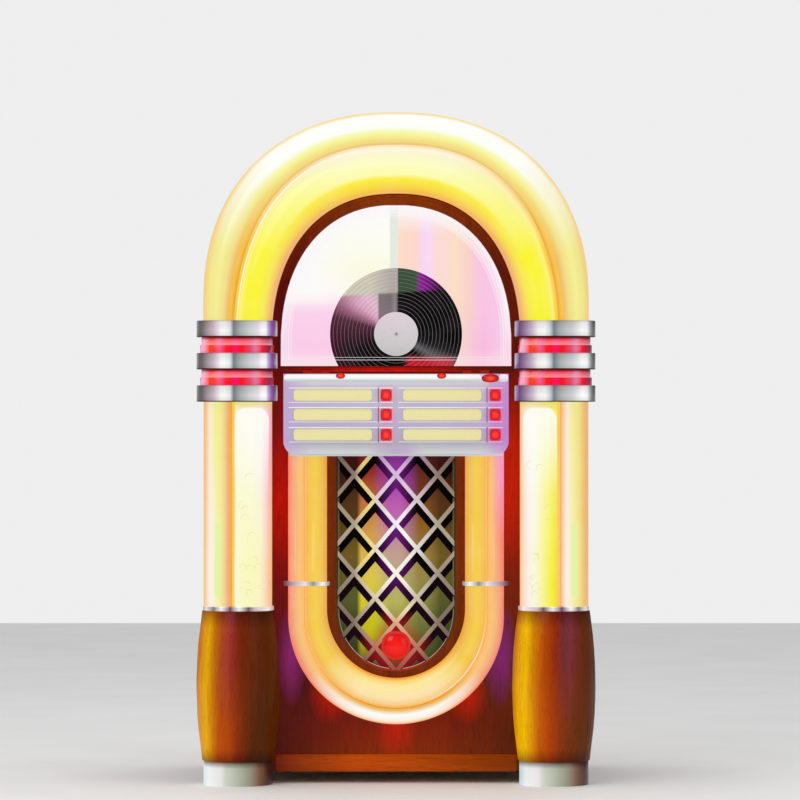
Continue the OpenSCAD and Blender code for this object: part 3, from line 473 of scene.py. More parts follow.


# Colours across the light covers and bubble tubes, from the inner edge (0) to the outer edge (1); the white
# bands in them are painted highlights
COVER_LOW = [(0.0, 236, 170, 50), (0.12, 247, 196, 66), (0.2, 241, 190, 104), (0.34, 243, 222, 134),
             (0.55, 246, 240, 146), (0.8, 243, 232, 140), (0.92, 245, 212, 126), (1.0, 242, 196, 118)]
COVER_HIGH = [(0.0, 236, 205, 120), (0.16, 244, 226, 132), (0.3, 248, 246, 150), (0.4, 247, 252, 186),
              (0.5, 255, 255, 250), (0.86, 255, 254, 250), (0.95, 250, 226, 150), (1.0, 236, 200, 110)]
TUBE_LOW = [(0.0, 236, 160, 112), (0.1, 249, 196, 98), (0.24, 248, 232, 74), (0.45, 252, 247, 38),
            (0.72, 250, 244, 46), (0.86, 255, 246, 120), (0.93, 250, 214, 72), (1.0, 240, 178, 58)]
TUBE_HIGH = [(0.0, 246, 180, 76), (0.12, 250, 214, 62), (0.3, 252, 238, 50), (0.38, 254, 253, 170),
             (0.6, 254, 254, 196), (0.8, 251, 248, 206), (0.93, 255, 240, 222), (1.0, 240, 206, 150)]
# Pillars: each is (near the foot, near the top)
LEFT_COVER = ([(0.0, 240, 184, 62), (0.12, 240, 170, 112), (0.26, 242, 214, 150), (0.42, 246, 240, 160),
               (0.6, 252, 244, 210), (0.76, 254, 242, 238), (0.88, 250, 214, 168), (1.0, 243, 170, 100)],
              [(0.0, 240, 184, 62), (0.12, 240, 172, 104), (0.26, 240, 214, 140), (0.42, 243, 240, 142),
               (0.6, 244, 242, 156), (0.74, 253, 240, 220), (0.86, 250, 206, 150), (1.0, 243, 166, 92)])
RIGHT_COVER = ([(0.0, 240, 184, 70), (0.12, 246, 214, 190), (0.22, 254, 242, 236), (0.36, 252, 240, 206),
                (0.5, 246, 240, 160), (0.66, 244, 226, 140), (0.84, 240, 190, 110), (1.0, 238, 164, 92)],
               [(0.0, 240, 184, 70), (0.12, 244, 206, 170), (0.24, 252, 236, 220), (0.36, 248, 238, 170),
                (0.5, 243, 236, 140), (0.66, 243, 222, 136), (0.84, 240, 188, 108), (1.0, 238, 164, 92)])
LEFT_TUBE = ([(0.0, 243, 186, 116), (0.06, 250, 196, 150), (0.16, 253, 222, 188), (0.3, 253, 246, 196),
              (0.5, 250, 250, 188), (0.75, 252, 250, 196), (0.9, 254, 252, 222), (0.95, 250, 206, 92),
              (1.0, 240, 182, 60)],
             [(0.0, 244, 168, 140), (0.06, 250, 176, 208), (0.16, 252, 220, 240), (0.28, 254, 244, 246),
              (0.5, 255, 253, 238), (0.75, 253, 252, 224), (0.9, 255, 253, 224), (0.95, 250, 206, 92),
              (1.0, 240, 182, 60)])
RIGHT_TUBE = ([(0.0, 250, 196, 130), (0.08, 253, 222, 200), (0.2, 253, 240, 236), (0.34, 252, 250, 220),
               (0.5, 250, 248, 170), (0.68, 250, 244, 96), (0.82, 250, 240, 40), (0.92, 246, 216, 60),
               (1.0, 240, 178, 60)],
              [(0.0, 250, 196, 130), (0.08, 253, 226, 200), (0.18, 254, 246, 248), (0.34, 255, 254, 246),
               (0.55, 253, 252, 200), (0.75, 251, 248, 146), (0.9, 250, 242, 100), (0.95, 246, 206, 60),
               (1.0, 240, 178, 60)])
GRILLE_COVER = [(0.0, 250, 186, 100), (0.3, 249, 196, 122), (0.6, 246, 176, 122), (0.85, 252, 152, 122),
                (1.0, 255, 130, 100)]
GRILLE_COVER_FOOT = [(0.0, 238, 150, 20), (0.08, 240, 160, 46), (0.2, 228, 202, 128), (0.42, 255, 254, 252),
                     (0.75, 255, 246, 232),
                     (0.92, 255, 206, 150), (1.0, 240, 130, 70)]
GRILLE_TUBE = [(0.0, 238, 168, 66), (0.2, 242, 190, 74), (0.5, 246, 208, 68), (0.8, 247, 196, 72),
               (1.0, 240, 178, 88)]
GRILLE_TUBE_FOOT = [(0.0, 250, 150, 30), (0.12, 253, 214, 110), (0.3, 255, 234, 158), (0.7, 254, 228, 172),
                    (0.9, 250, 206, 130), (1.0, 240, 176, 70)]

MAT_ARCH_COVER = lit_plastic("arch_cover_plastic", COVER_LOW, COVER_HIGH, (0.24, 0.58))
MAT_ARCH_TUBE = lit_plastic("arch_tube_glow", TUBE_LOW, TUBE_HIGH, (0.3, 0.8), line=(0.91, -1, 0.02, 0.22))
# tint places a painted green highlight strip on the pillar covers
MAT_PILLAR_COVER = pillar_plastic("pillar_cover_plastic", LEFT_COVER, RIGHT_COVER, tint=(0.34, 0.62))
MAT_PILLAR_TUBE = pillar_plastic("pillar_tube_glow", LEFT_TUBE, RIGHT_TUBE, glare=(0.08, 0.92))
MAT_GRILLE_COVER = lit_plastic("grille_cover_plastic", GRILLE_COVER, GRILLE_COVER_FOOT, (0.55, 0.95),
                               pink=0.85)
MAT_GRILLE_TUBE = lit_plastic("grille_tube_glow", GRILLE_TUBE, GRILLE_TUBE_FOOT, (0.55, 0.9),
                              line=(0.93, 1, 0.05, 0.12))


def spot(s, x0, z0, rx, rz):
    """A soft round patch of light: 1 in its middle, 0 outside rx and rz."""
    dx = s.over(s.minus(s.axis("X"), x0), rx)
    dz = s.over(s.minus(s.axis("Z"), z0), rz)
    return s.fall(s.length(dx, dz), 0.0, 1.0)


FRONT_SPOTS = ((-0.236, 0.29, 0.035, 0.12, (150, 40, 120), 0.8),
               (0.236, 0.29, 0.04, 0.12, (136, 36, 120), 0.85),
               (-0.15, 0.2, 0.05, 0.07, (196, 24, 4), 0.9), (0.0, 0.125, 0.05, 0.07, (206, 30, 6), 0.8),
               (0.16, 0.2, 0.05, 0.07, (200, 30, 4), 0.9), (-0.26, 0.64, 0.03, 0.16, (196, 16, 4), 0.8),
               (0.26, 0.68, 0.03, 0.2, (204, 30, 2), 0.8))


def front_colour(s):
    """Dark red at the sides, brighter behind the glow, browner towards the foot, with cast lamp light."""
    x, z = s.axis("X"), s.axis("Z")
    up = s.span(z, 0.05, 0.95)
    left = s.ramp(up, [(0.0, 74, 16, 10), (0.3, 84, 14, 14), (0.46, 120, 14, 12), (0.62, 160, 15, 4),
                       (0.8, 134, 14, 12), (1.0, 92, 14, 8)])
    right = s.ramp(up, [(0.0, 92, 32, 4), (0.3, 100, 34, 14), (0.46, 124, 30, 4), (0.62, 160, 27, 2),
                        (0.8, 166, 25, 3), (1.0, 100, 18, 6)])
    side = s.mix(s.span(x, -0.28, 0.28), left, right)
    middle = s.fall(s.size(x), 0.0, 0.26)
    low = s.fall(z, 0.02, 0.2)
    warm = s.ramp(s.span(z, 0.05, 0.15), [(0.0, 146, 54, 2), (1.0, 190, 34, 2)])
    colour = s.mix(s.times(middle, low), side, warm)
    for x0, z0, rx, rz, rgb, strength in FRONT_SPOTS:
        colour = s.mix(s.times(spot(s, x0, z0, rx, rz), strength), colour, lin(*rgb))
    return colour


BARREL_X, BARREL_Z, BARREL_HALF_W = 0.356, 0.22, 0.094      # middle and half width of a barrel's front


def barrel_colour(x_mid):
    """Painted light: a gold highlight on the left turning through orange and red-violet to dark brown shade,
    leaning a little with height; darker towards the top and bottom ends.
    """
    if x_mid < 0:
        low = [(0.0, 190, 104, 6), (0.05, 222, 150, 0), (0.12, 240, 178, 0), (0.2, 212, 132, 0),
               (0.28, 190, 82, 0), (0.42, 176, 66, 2), (0.52, 140, 46, 2), (0.64, 108, 40, 2),
               (0.76, 84, 36, 0), (1.0, 78, 34, 0)]
        high = [(0.0, 190, 104, 6), (0.05, 222, 146, 0), (0.12, 236, 172, 0), (0.2, 200, 120, 4),
                (0.28, 172, 76, 24), (0.37, 166, 58, 48), (0.46, 140, 42, 26), (0.54, 116, 38, 6),
                (0.68, 100, 36, 4), (0.85, 88, 34, 2), (1.0, 78, 28, 4)]
    else:
        low = [(0.0, 196, 120, 10), (0.06, 240, 176, 6), (0.13, 250, 196, 6), (0.22, 224, 146, 0),
               (0.32, 196, 90, 0), (0.46, 176, 62, 0), (0.58, 140, 52, 4), (0.7, 120, 50, 14),
               (0.84, 100, 44, 4), (1.0, 84, 38, 4)]
        high = [(0.0, 196, 120, 10), (0.06, 240, 176, 10), (0.13, 246, 188, 4), (0.22, 210, 128, 0),
                (0.34, 180, 72, 0), (0.48, 150, 44, 6), (0.58, 118, 44, 44), (0.68, 126, 46, 54),
                (0.78, 108, 42, 24), (0.9, 92, 40, 4), (1.0, 76, 34, 4)]

    def colour(s):
        x, z = s.axis("X"), s.axis("Z")
        lean = s.times(s.minus(z, BARREL_Z), 0.03)
        bulge = s.gap(z, BARREL_Z)
        shrink = s.minus(1.0, s.times(bulge, 0.5))
        at = s.over(s.minus(s.minus(x, x_mid), lean), shrink)
        at = s.span(at, -BARREL_HALF_W, BARREL_HALF_W)
        full = s.mix(s.span(z, 0.14, 0.28), s.ramp(at, low), s.ramp(at, high))
        ends = s.ramp(s.span(z, 0.05, 0.395), [(0.0, 150, 130, 120), (0.1, 255, 255, 255),
                                              (0.88, 255, 255, 255), (1.0, 170, 140, 140)])
        return s.mix(1.0, full, ends, "MULTIPLY")
    return colour


CHROME_LO, CHROME_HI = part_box("chrome_bands")
CHROME_HALF_W, RED_HALF_W = 0.091, 0.08
CHROME_H = 0.037                              # height of each of the three chrome bands of a side
BAND_X = CHROME_HI.x - CHROME_HALF_W
BAND_GAP = (CHROME_HI.z - CHROME_LO.z - 3 * CHROME_H) / 2
BAND_STEP = BAND_GAP + CHROME_H


def sideways(s):
    """1 on the faces that look to the side, 0 on those that look ahead."""
    return s.fall(s.size(s.facing("Y")), 0.05, 0.3)


def chrome_colour(x_mid):
    """Chrome with the stripes of a reflected room across it; stops run from left to right."""
    left = [(0.0, 150, 124, 118), (0.05, 98, 96, 100), (0.09, 114, 112, 116), (0.15, 170, 154, 158),
            (0.23, 210, 190, 198), (0.28, 236, 226, 236), (0.32, 255, 255, 252), (0.375, 255, 255, 252),
            (0.43, 232, 238, 238), (0.475, 126, 128, 134), (0.55, 172, 176, 176), (0.67, 212, 214, 214),
            (0.77, 236, 230, 240), (0.82, 255, 255, 255), (0.87, 255, 255, 255), (0.9, 200, 170, 222),
            (0.935, 152, 100, 174), (0.97, 104, 56, 124), (1.0, 66, 18, 44)]
    right = [(0.0, 150, 120, 178), (0.05, 104, 80, 130), (0.1, 150, 118, 156), (0.2, 206, 184, 202),
             (0.28, 250, 248, 248), (0.36, 255, 255, 252), (0.42, 214, 222, 224), (0.47, 126, 130, 136),
             (0.55, 178, 182, 182), (0.7, 216, 216, 218), (0.82, 255, 255, 255), (0.88, 252, 254, 254),
             (0.93, 150, 150, 150), (0.97, 70, 70, 72), (1.0, 34, 32, 36)]

    def colour(s):
        stripes = s.ramp(s.span(s.axis("X"), x_mid - CHROME_HALF_W, x_mid + CHROME_HALF_W),
                         left if x_mid < 0 else right)
        flank = s.ramp(s.span(s.axis("Y"), CHROME_LO.y, FRONT_Y), [(0.0, 92, 88, 94), (0.3, 244, 242, 244),
                       (0.45, 146, 144, 148), (0.8, 216, 214, 216), (1.0, 112, 108, 112)])
        stripes = s.mix(sideways(s), stripes, flank)
        level = s.math("MODULO", s.minus(s.axis("Z"), CHROME_LO.z), BAND_STEP)
        shade = s.ramp(s.span(level, 0.0, CHROME_H), [(0.0, 40, 24, 26), (0.055, 52, 34, 36),
                       (0.075, 235, 235, 235), (0.4, 255, 255, 255), (0.9, 230, 230, 230),
                       (1.0, 196, 180, 190)])
        return s.mix(1.0, stripes, shade, "MULTIPLY")
    return colour


def side_by_x(build, x_mid):
    """One colour from two: build(middle) gives a colour for a side, by the side's own middle."""
    def colour(s):
        right = s.span(s.axis("X"), -0.001, 0.001)
        return s.mix(right, build(-x_mid)(s), build(x_mid)(s))
    return colour


def band_colour(x_mid):
    """Red plastic with pink and orange light in it."""
    def colour(s):
        x = s.span(s.axis("X"), x_mid - RED_HALF_W, x_mid + RED_HALF_W)
        light = s.ramp(x, [(0.0, 226, 190, 222), (0.05, 252, 170, 196), (0.13, 255, 58, 12),
                          (0.2, 255, 60, 40), (0.27, 250, 90, 140), (0.36, 255, 16, 44),
                          (0.43, 255, 0, 18), (0.49, 255, 0, 110), (0.55, 255, 0, 44),
                          (0.6, 250, 10, 22), (0.7, 232, 66, 104), (0.78, 226, 120, 158),
                          (0.86, 244, 14, 54), (0.93, 190, 20, 60), (1.0, 74, 30, 62)])
        return s.mix(sideways(s), light, lin(226, 22, 48))
    return colour


def red_band_material():
    """The upper tier of each band has a pale painted highlight along its foot, and is shaded by the chrome
    above it.
    """
    s = Shader("red_band_plastic")
    base = side_by_x(band_colour, BAND_X)(s)
    level = s.math("MODULO", s.minus(s.axis("Z"), CHROME_LO.z + CHROME_H), BAND_STEP)
    level = s.over(level, BAND_GAP)
    upper = s.ramp(level, [(place, grey, grey, grey) for place, grey in (
        (0.0, 0), (0.49, 0), (0.5, 203.42), (0.58, 169.62), (0.8, 111.34), (1.0, 0))])
    shade = s.ramp(level, [(0.0, 246, 230, 230), (0.2, 255, 255, 255), (0.8, 255, 255, 255),
                           (0.93, 170, 120, 130), (1.0, 96, 40, 50)])
    colour = s.mix(upper, base, lin(255, 196, 208))
    colour = s.mix(1.0, colour, shade, "MULTIPLY")
    return s.surface(colour=colour, glow=0.8, rough=s.vary(s.noise(200.0), 0.18, 0.26), coat=0.15,
                     coat_rough=0.08, specular=0.2, normal=s.bump(s.noise(70.0), 0.04, 0.001))


MAT_FRONT = lacquered_wood("front_lacquer", front_colour, (30.0, 30.0, 3.0), 0.16, 0.26, 0.04, power=1.0)
MAT_CABINET = lacquered_wood("cabinet_veneer", flat_colour(120, 44, 18), (34.0, 2.6, 34.0), 0.4, 0.3, 0.25)


def window_wood_colour(s):
    """Dark red-brown, lighter over the top of the arch, with a red glow along the rail."""
    x, z = s.axis("X"), s.axis("Z")
    up = s.span(z, 0.92, 1.34)
    left = s.ramp(up, [(0.0, 96, 12, 6), (0.15, 86, 8, 8), (0.5, 92, 10, 6), (0.8, 116, 36, 4),
                       (1.0, 146, 60, 4)])
    right = s.ramp(up, [(0.0, 84, 20, 6), (0.2, 100, 24, 4), (0.6, 96, 26, 4), (1.0, 140, 54, 4)])
    colour = s.mix(s.span(x, -0.15, 0.15), left, right)
    rail = s.times(s.span(z, 0.944, 0.940), s.fall(s.size(s.plus(x, 0.03)), 0.06, 0.24))
    return s.mix(rail, colour, s.ramp(s.span(z, 0.925, 0.943), [(0.0, 214, 26, 4), (0.6, 190, 16, 4),
                                                               (1.0, 110, 8, 4)]))


MAT_DARK_WOOD = lacquered_wood("window_lacquer", window_wood_colour, (40.0, 40.0, 12.0), 0.25, 0.26, 0.04,
                               power=0.95)
MAT_GRILLE_WOOD = lacquered_wood("grille_frame_lacquer", flat_colour(122, 44, 4), (60.0, 60.0, 6.0),
                                 0.3, 0.26, 0.04, power=0.9)
MAT_PLINTH = lacquered_wood("plinth_lacquer", lambda s: s.ramp(
    s.span(s.axis("X"), -0.28, 0.28), [(0.0, 100, 24, 10), (0.12, 144, 52, 5), (0.35, 190, 73, 3),
                                       (0.6, 178, 70, 1), (1.0, 128, 50, 0)]), (3.0, 30.0, 40.0), 0.2, 0.25,
    0.04, power=0.95)
MAT_DOOR = lacquered_wood("service_door_stain", flat_colour(150, 102, 58), (22.0, 22.0, 2.0), 0.4, 0.45, 0.0)
MAT_BOARD = lacquered_wood("bare_plywood", flat_colour(186, 148, 100), (22.0, 3.0, 22.0), 0.3, 0.6, 0.0)
MAT_CHROME = polished_metal("band_chrome", side_by_x(chrome_colour, BAND_X), 0.24, (40.0, 40.0, 500.0),
                            power=0.93)
MAT_TRIM = polished_metal("trim_chrome", flat_colour(214, 210, 216), 0.14)
MAT_STEEL = polished_metal("plated_steel", flat_colour(150, 150, 156), 0.28)
MAT_ALUMINIUM = polished_metal("turned_aluminium", flat_colour(196, 196, 202), 0.24)
# the hinges' red is painted glow, like the red light along the rail beside them
MAT_HINGE = polished_metal("hinge_painted_red_glow", flat_colour(178, 26, 12), 0.3, power=0.55)
MAT_GREY = painted("hammered_grey", (124, 128, 134), 0.38, 90.0, 0.5)
MAT_BLACK = painted("stoved_black", (30, 30, 34), 0.35, 140.0, 0.3)
MAT_KNOB = painted("moulded_black", (22, 22, 24), 0.45, 260.0, 0.2)
MAT_RUBBER = painted("black_rubber", (26, 26, 26), 0.75, 320.0, 0.5)
MAT_CONE = painted("speaker_pulp", (44, 42, 42), 0.85, 420.0, 0.9)


def panel_material():
    """Silver-lilac enamel, bluer in the middle and pinker at the lower right, with a soft sheen, painted
    highlights near the top and the foot, a painted pink glow round each select button and a violet patch of
    painted light at the foot.
    """
    s = Shader("title_panel_enamel")
    x, z = s.axis("X"), s.axis("Z")
    # lighter at the foot and near the top: painted highlights
    down = s.ramp(s.span(z, PANEL_LO.z, PANEL_HI.z),
                  [(0.0, 236, 236, 240), (0.05, 214, 214, 218), (0.16, 176, 174, 184),
                   (0.4, 190, 176, 206), (0.85, 200, 194, 206), (0.93, 232, 228, 234), (1.0, 212, 208, 216)])
    edge = s.span(s.size(x), 0.19, 0.25)
    side = s.mix(s.span(x, -0.1, 0.1), lin(190, 158, 214), lin(204, 110, 214))
    colour = s.mix(s.times(edge, 0.75), down, side)
    # a painted pink glow round each select button
    for n in range(1, 7):
        lo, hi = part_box(f"select_button_{n}")
        pink = lin(224, 84, 190) if lo.x > 0.1 else lin(226, 130, 170)
        colour = s.mix(s.times(spot(s, (lo.x + hi.x) / 2, (lo.z + hi.z) / 2, 0.03, 0.03), 0.9), colour, pink)
    # a violet patch of painted light at the middle of the foot
    colour = s.tint(colour, s.times(spot(s, 0.0, PANEL_LO.z, 0.07, 0.035), 0.6), 170, 80, 200)
    colour = s.tint(colour, s.span(s.noise(7.0, 4.0), 0.3, 0.75, 0.0, 0.2), 222, 214, 232)
    fine = s.brushed()
    return s.surface(colour=colour, glow=0.6, metal=0.25, rough=s.vary(fine, 0.26, 0.36), coat=0.1,
                     coat_rough=0.1, specular=0.2, normal=s.bump(fine, 0.04, 0.0003))


def card_material():
    """Blank cream card with faint paper fibre."""
    s = Shader("title_card_paper")
    fibre = s.noise(1.0, 4.0, 0.7, s.mapped((500.0, 500.0, 1400.0)))
    colour = s.mix(s.span(fibre, 0.35, 0.7, 0.0, 0.3), lin(240, 232, 170), lin(226, 212, 140))
    return s.surface(colour=colour, glow=0.32, rough=0.7, normal=s.bump(fibre, 0.2, 0.0003))


# The pale reflection over the window and the record: how its lower edge leans, and its height at the middle
SLANT, SLANT_Z = 0.063, 1.110
MIDLINE = (0.003, 0.005)                      # where the left half of the reflected room turns into the right
GROOVE = 0.0011                               # one groove of a record to the next


def vinyl_material():
    """Black vinyl: fine grooves, and broad bands with a painted sheen on the gaps between them; painted
    reflections, fans of light, a red glow low on the right and a pale sheet of the room above a slant, stay
    put while the disc turns.
    """
    s = Shader("record_vinyl")
    x, z = s.standing("X"), s.standing("Z")
    dz = s.minus(z, SPINDLE.z)
    r = s.length(x, dz)
    turn = s.over(s.math("ARCTAN2", dz, x), 2 * math.pi)
    turn = s.math("FRACT", s.plus(turn, 1.0))
    fan = s.ramp(turn, [(0.0, 4, 3, 4), (0.245, 10, 8, 10), (0.255, 168, 158, 162), (0.285, 190, 174, 182),
                        (0.315, 208, 184, 196), (0.355, 230, 190, 210), (0.395, 222, 166, 196),
                        (0.43, 160, 100, 130), (0.455, 84, 40, 58), (0.5, 62, 26, 42),
                        (0.56, 20, 8, 14), (0.7, 6, 4, 4),
                        (0.88, 10, 10, 10), (0.915, 96, 96, 98), (0.95, 30, 28, 30), (0.98, 5, 4, 5),
                        (1.0, 4, 3, 4)])
    fan = s.mix(s.span(r, 0.11, 0.15, 0.0, 0.35), fan,
                s.mix(s.span(x, -0.1, 0.0), lin(90, 20, 50), lin(0, 0, 0)))
    # a painted red glow low on the right
    red = s.times(s.span(x, 0.018, 0.03), s.fall(z, 0.952, 0.97))
    red = s.times(red, s.fall(x, 0.12, 0.14))
    fan = s.mix(s.times(red, 0.75), fan, lin(226, 20, 50))
    # painted reflection of the room: pale on the left, green and violet on the right, above a slanting edge
    high = s.span(s.minus(z, s.times(x, SLANT)), SLANT_Z - 0.003, SLANT_Z + 0.003)
    on_left = s.fall(x, *MIDLINE)
    strip = s.span(s.size(s.plus(x, 0.0185)), 0.020, 0.0235, 0.85, 0.0)
    strip = s.times(strip, s.math("GREATER_THAN", z, SPINDLE.z))
    fan = s.mix(strip, fan, s.mix(s.span(x, -0.012, -0.004), lin(104, 94, 98), lin(134, 126, 128)))
    pale = s.mix(s.span(x, -0.06, -0.012), lin(206, 202, 182), lin(178, 168, 164))
    cast = s.mix(s.span(x, 0.044, 0.058), lin(58, 80, 58),
                 s.mix(s.span(x, 0.06, 0.095), lin(142, 8, 152), lin(70, 0, 70)))
    fan = s.mix(high, fan, s.mix(on_left, cast, pale))
    groove = s.math("SINE", s.times(r, 2 * math.pi / GROOVE))
    # painted sheen on the smooth gaps between the broad bands
    wide = s.math("FRACT", s.over(s.minus(r, 0.0535), 0.0085))
    line = s.fall(s.gap(wide, 0.5), 0.03, 0.09)
    line = s.times(line, s.math("LESS_THAN", r, 0.146))
    colour = s.mix(s.times(line, 0.6), fan, lin(134, 126, 128))
    return s.surface(colour=colour, glow=0.9, rough=s.span(groove, -1, 1, 0.3, 0.42),
                     specular=0.06, normal=s.bump(groove, 0.25, 0.0002))


def stored_vinyl_material():
    """Black vinyl with fine grooves, for the records that wait in the magazine."""
    s = Shader("stored_vinyl")
    lo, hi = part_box("stored_records")
    dz = s.minus(s.axis("Z"), (lo.z + hi.z) / 2)
    x = s.axis("X")
    r = s.length(x, dz)
    groove = s.math("SINE", s.times(r, 2 * math.pi / GROOVE))
    # lighter rings on the gaps between bands: a painted sheen
    gap = s.math("SINE", s.times(r, 2 * math.pi / 0.017))
    colour = s.mix(s.span(gap, 0.85, 0.98), lin(16, 15, 17), lin(52, 50, 56))
    colour = s.tint(colour, s.span(s.noise(30.0, 3.0), 0.4, 0.75, 0.0, 0.25), 44, 42, 46)
    return s.surface(colour=colour, rough=s.span(groove, -1, 1, 0.24, 0.4), specular=0.4,
                     normal=s.bump(groove, 0.25, 0.0002))


def label_material():
    """Plain pale grey paper label with a faint pressed ring."""
    s = Shader("record_label_paper")
    x, z = s.axis("X"), s.axis("Z")
    dz = s.minus(z, SPINDLE.z)
    r = s.length(x, dz)
    ring = s.fall(s.gap(r, 0.018), 0.0, 0.001)
    fibre = s.noise(900.0, 3.0)
    colour = s.mix(s.span(dz, -0.05, 0.05), lin(214, 220, 218), lin(232, 216, 226))
    colour = s.tint(colour, s.span(fibre, 0.4, 0.7, 0.0, 0.15), 196, 190, 196)
    return s.surface(colour=colour, glow=0.35, rough=0.6,
                     normal=s.bump(s.plus(fibre, ring), 0.1, 0.0004))


def backdrop_material():
    """Lit diffuser behind the record: white at the upper left, peach and pink at the right, rose below."""
    s = Shader("display_backdrop_glow")
    x, z = s.axis("X"), s.axis("Z")
    left = s.ramp(s.span(z, 0.94, 1.3), [(0.0, 252, 226, 236), (0.1, 255, 206, 236), (0.34, 254, 212, 238),
                                        (0.43, 255, 238, 244), (0.5, 255, 250, 240), (0.62, 252, 253, 226),
                                        (0.76, 254, 255, 240), (1.0, 255, 255, 255)])
    left = s.mix(s.span(x, -0.26, -0.23, 0.7, 0.0), left, lin(246, 232, 246))
    white = s.times(s.fall(x, -0.19, -0.09), s.span(z, 1.08, 1.12))
    left = s.mix(white, left, lin(255, 254, 252))
    left = s.mix(s.span(x, -0.016, -0.012), left, lin(228, 236, 226))
    across = s.span(x, 0.004, 0.25)
    right = s.ramp(across, [(0.0, 255, 222, 200), (0.17, 255, 218, 206), (0.22, 252, 216, 236),
                            (0.28, 252, 218, 253), (0.36, 254, 222, 214), (0.55, 254, 224, 202),
                            (0.66, 252, 212, 204), (0.78, 252, 198, 230), (0.94, 250, 200, 234),
                            (1.0, 252, 236, 246)])
    low = s.ramp(across, [(0.0, 254, 224, 214), (0.55, 253, 218, 214), (0.8, 252, 186, 226),
                          (1.0, 250, 214, 236)])
    right = s.mix(s.span(z, 0.98, 1.08, 0.8, 0.0), right, low)
    right = s.mix(s.span(z, 1.245, 1.3), right, lin(255, 246, 248))
    colour = s.mix(s.span(x, *MIDLINE), left, right)
    colour = s.tint(colour, s.span(z, 0.945, 0.985, 0.5, 0.0), 255, 232, 236)
    rim = s.plus(s.math("POWER", s.span(s.size(x), 0.0, 0.262), 2.3),
                 s.math("POWER", s.span(z, 0.9855, 1.3075), 2.2))
    rim_band = s.times(s.span(rim, 0.8, 0.98, 0.0, 0.8), s.span(z, 1.0, 1.12))
    colour = s.tint(colour, rim_band, 255, 250, 252)
    grain = s.noise(600.0, 2.0)
    return s.surface(colour=colour, glow=0.94, rough=s.vary(grain, 0.5, 0.6),
                     specular=0.1, normal=s.bump(grain, 0.05, 0.0003))


def near_button(s, reach_out):
    """1 beside the red play button, 0 from reach_out onwards."""
    x, dz = s.axis("X"), s.minus(s.axis("Z"), PLAY_MID.z)
    away = s.length(x, dz)
    return s.fall(away, 0.03, reach_out)


GRILLE_Z = (0.26, 0.76)                       # near the foot and the top of the cloth and lattice
WEAVE = 0.0022                                # one repeat of the cloth's weave


def cloth_material():
    """Woven speaker cloth, lit from above and behind: purple, then pink and amber, then yellow-green."""
    s = Shader("speaker_cloth_weave")
    x, z = s.axis("X"), s.axis("Z")
    up = s.span(z, *GRILLE_Z)
    centre = s.ramp(up, [(0.0, 96, 60, 40), (0.16, 150, 140, 70), (0.3, 196, 192, 100),
                         (0.44, 206, 186, 140), (0.56, 208, 160, 166), (0.7, 206, 110, 190),
                         (0.84, 182, 70, 186), (1.0, 120, 40, 140)])
    left = s.ramp(up, [(0.0, 70, 60, 30), (0.14, 206, 196, 30), (0.28, 232, 222, 30),
                       (0.46, 240, 210, 90), (0.62, 226, 166, 80), (0.76, 206, 116, 66),
                       (0.88, 160, 50, 40), (1.0, 96, 14, 26)])
    right = s.ramp(up, [(0.0, 60, 60, 34), (0.16, 110, 116, 54), (0.34, 158, 150, 76),
                        (0.5, 170, 140, 70), (0.64, 150, 104, 30), (0.8, 122, 60, 30),
                        (1.0, 72, 8, 20)])
    outer = s.ramp(up, [(0.0, 40, 44, 26), (0.3, 92, 96, 44), (0.5, 120, 96, 36),
                        (0.7, 92, 58, 22), (0.9, 60, 22, 16), (1.0, 70, 8, 22)])
    side = s.mix(s.span(x, -0.02, 0.02), left, right)
    colour = s.mix(s.span(s.size(x), 0.012, 0.052), centre, side)
    colour = s.mix(s.fall(x, -0.088, -0.078), colour, outer)
    colour = s.mix(s.span(x, 0.07, 0.1), colour, outer)
    # a painted red glow from the play button
    colour = s.tint(colour, s.times(near_button(s, 0.065), 0.5), 206, 40, 24)
    pitch = 2 * math.pi / WEAVE
    warp = s.math("SINE", s.times(x, pitch))
    weft = s.math("SINE", s.times(z, pitch))
    weave = s.times(warp, weft)
    slub = s.noise(1.0, 3.0, 0.6, s.mapped((900.0, 900.0, 60.0)))
    colour = s.mix(s.span(weave, -1.0, 1.0, 0.0, 0.28), colour, s.mix(0.7, colour, BLACK))
    height = s.plus(weave, s.times(slub, 0.8))
    return s.surface(colour=colour, glow=0.7, rough=0.85, sheen=0.1, specular=0.1,
                     normal=s.bump(height, 0.5, 0.0006))


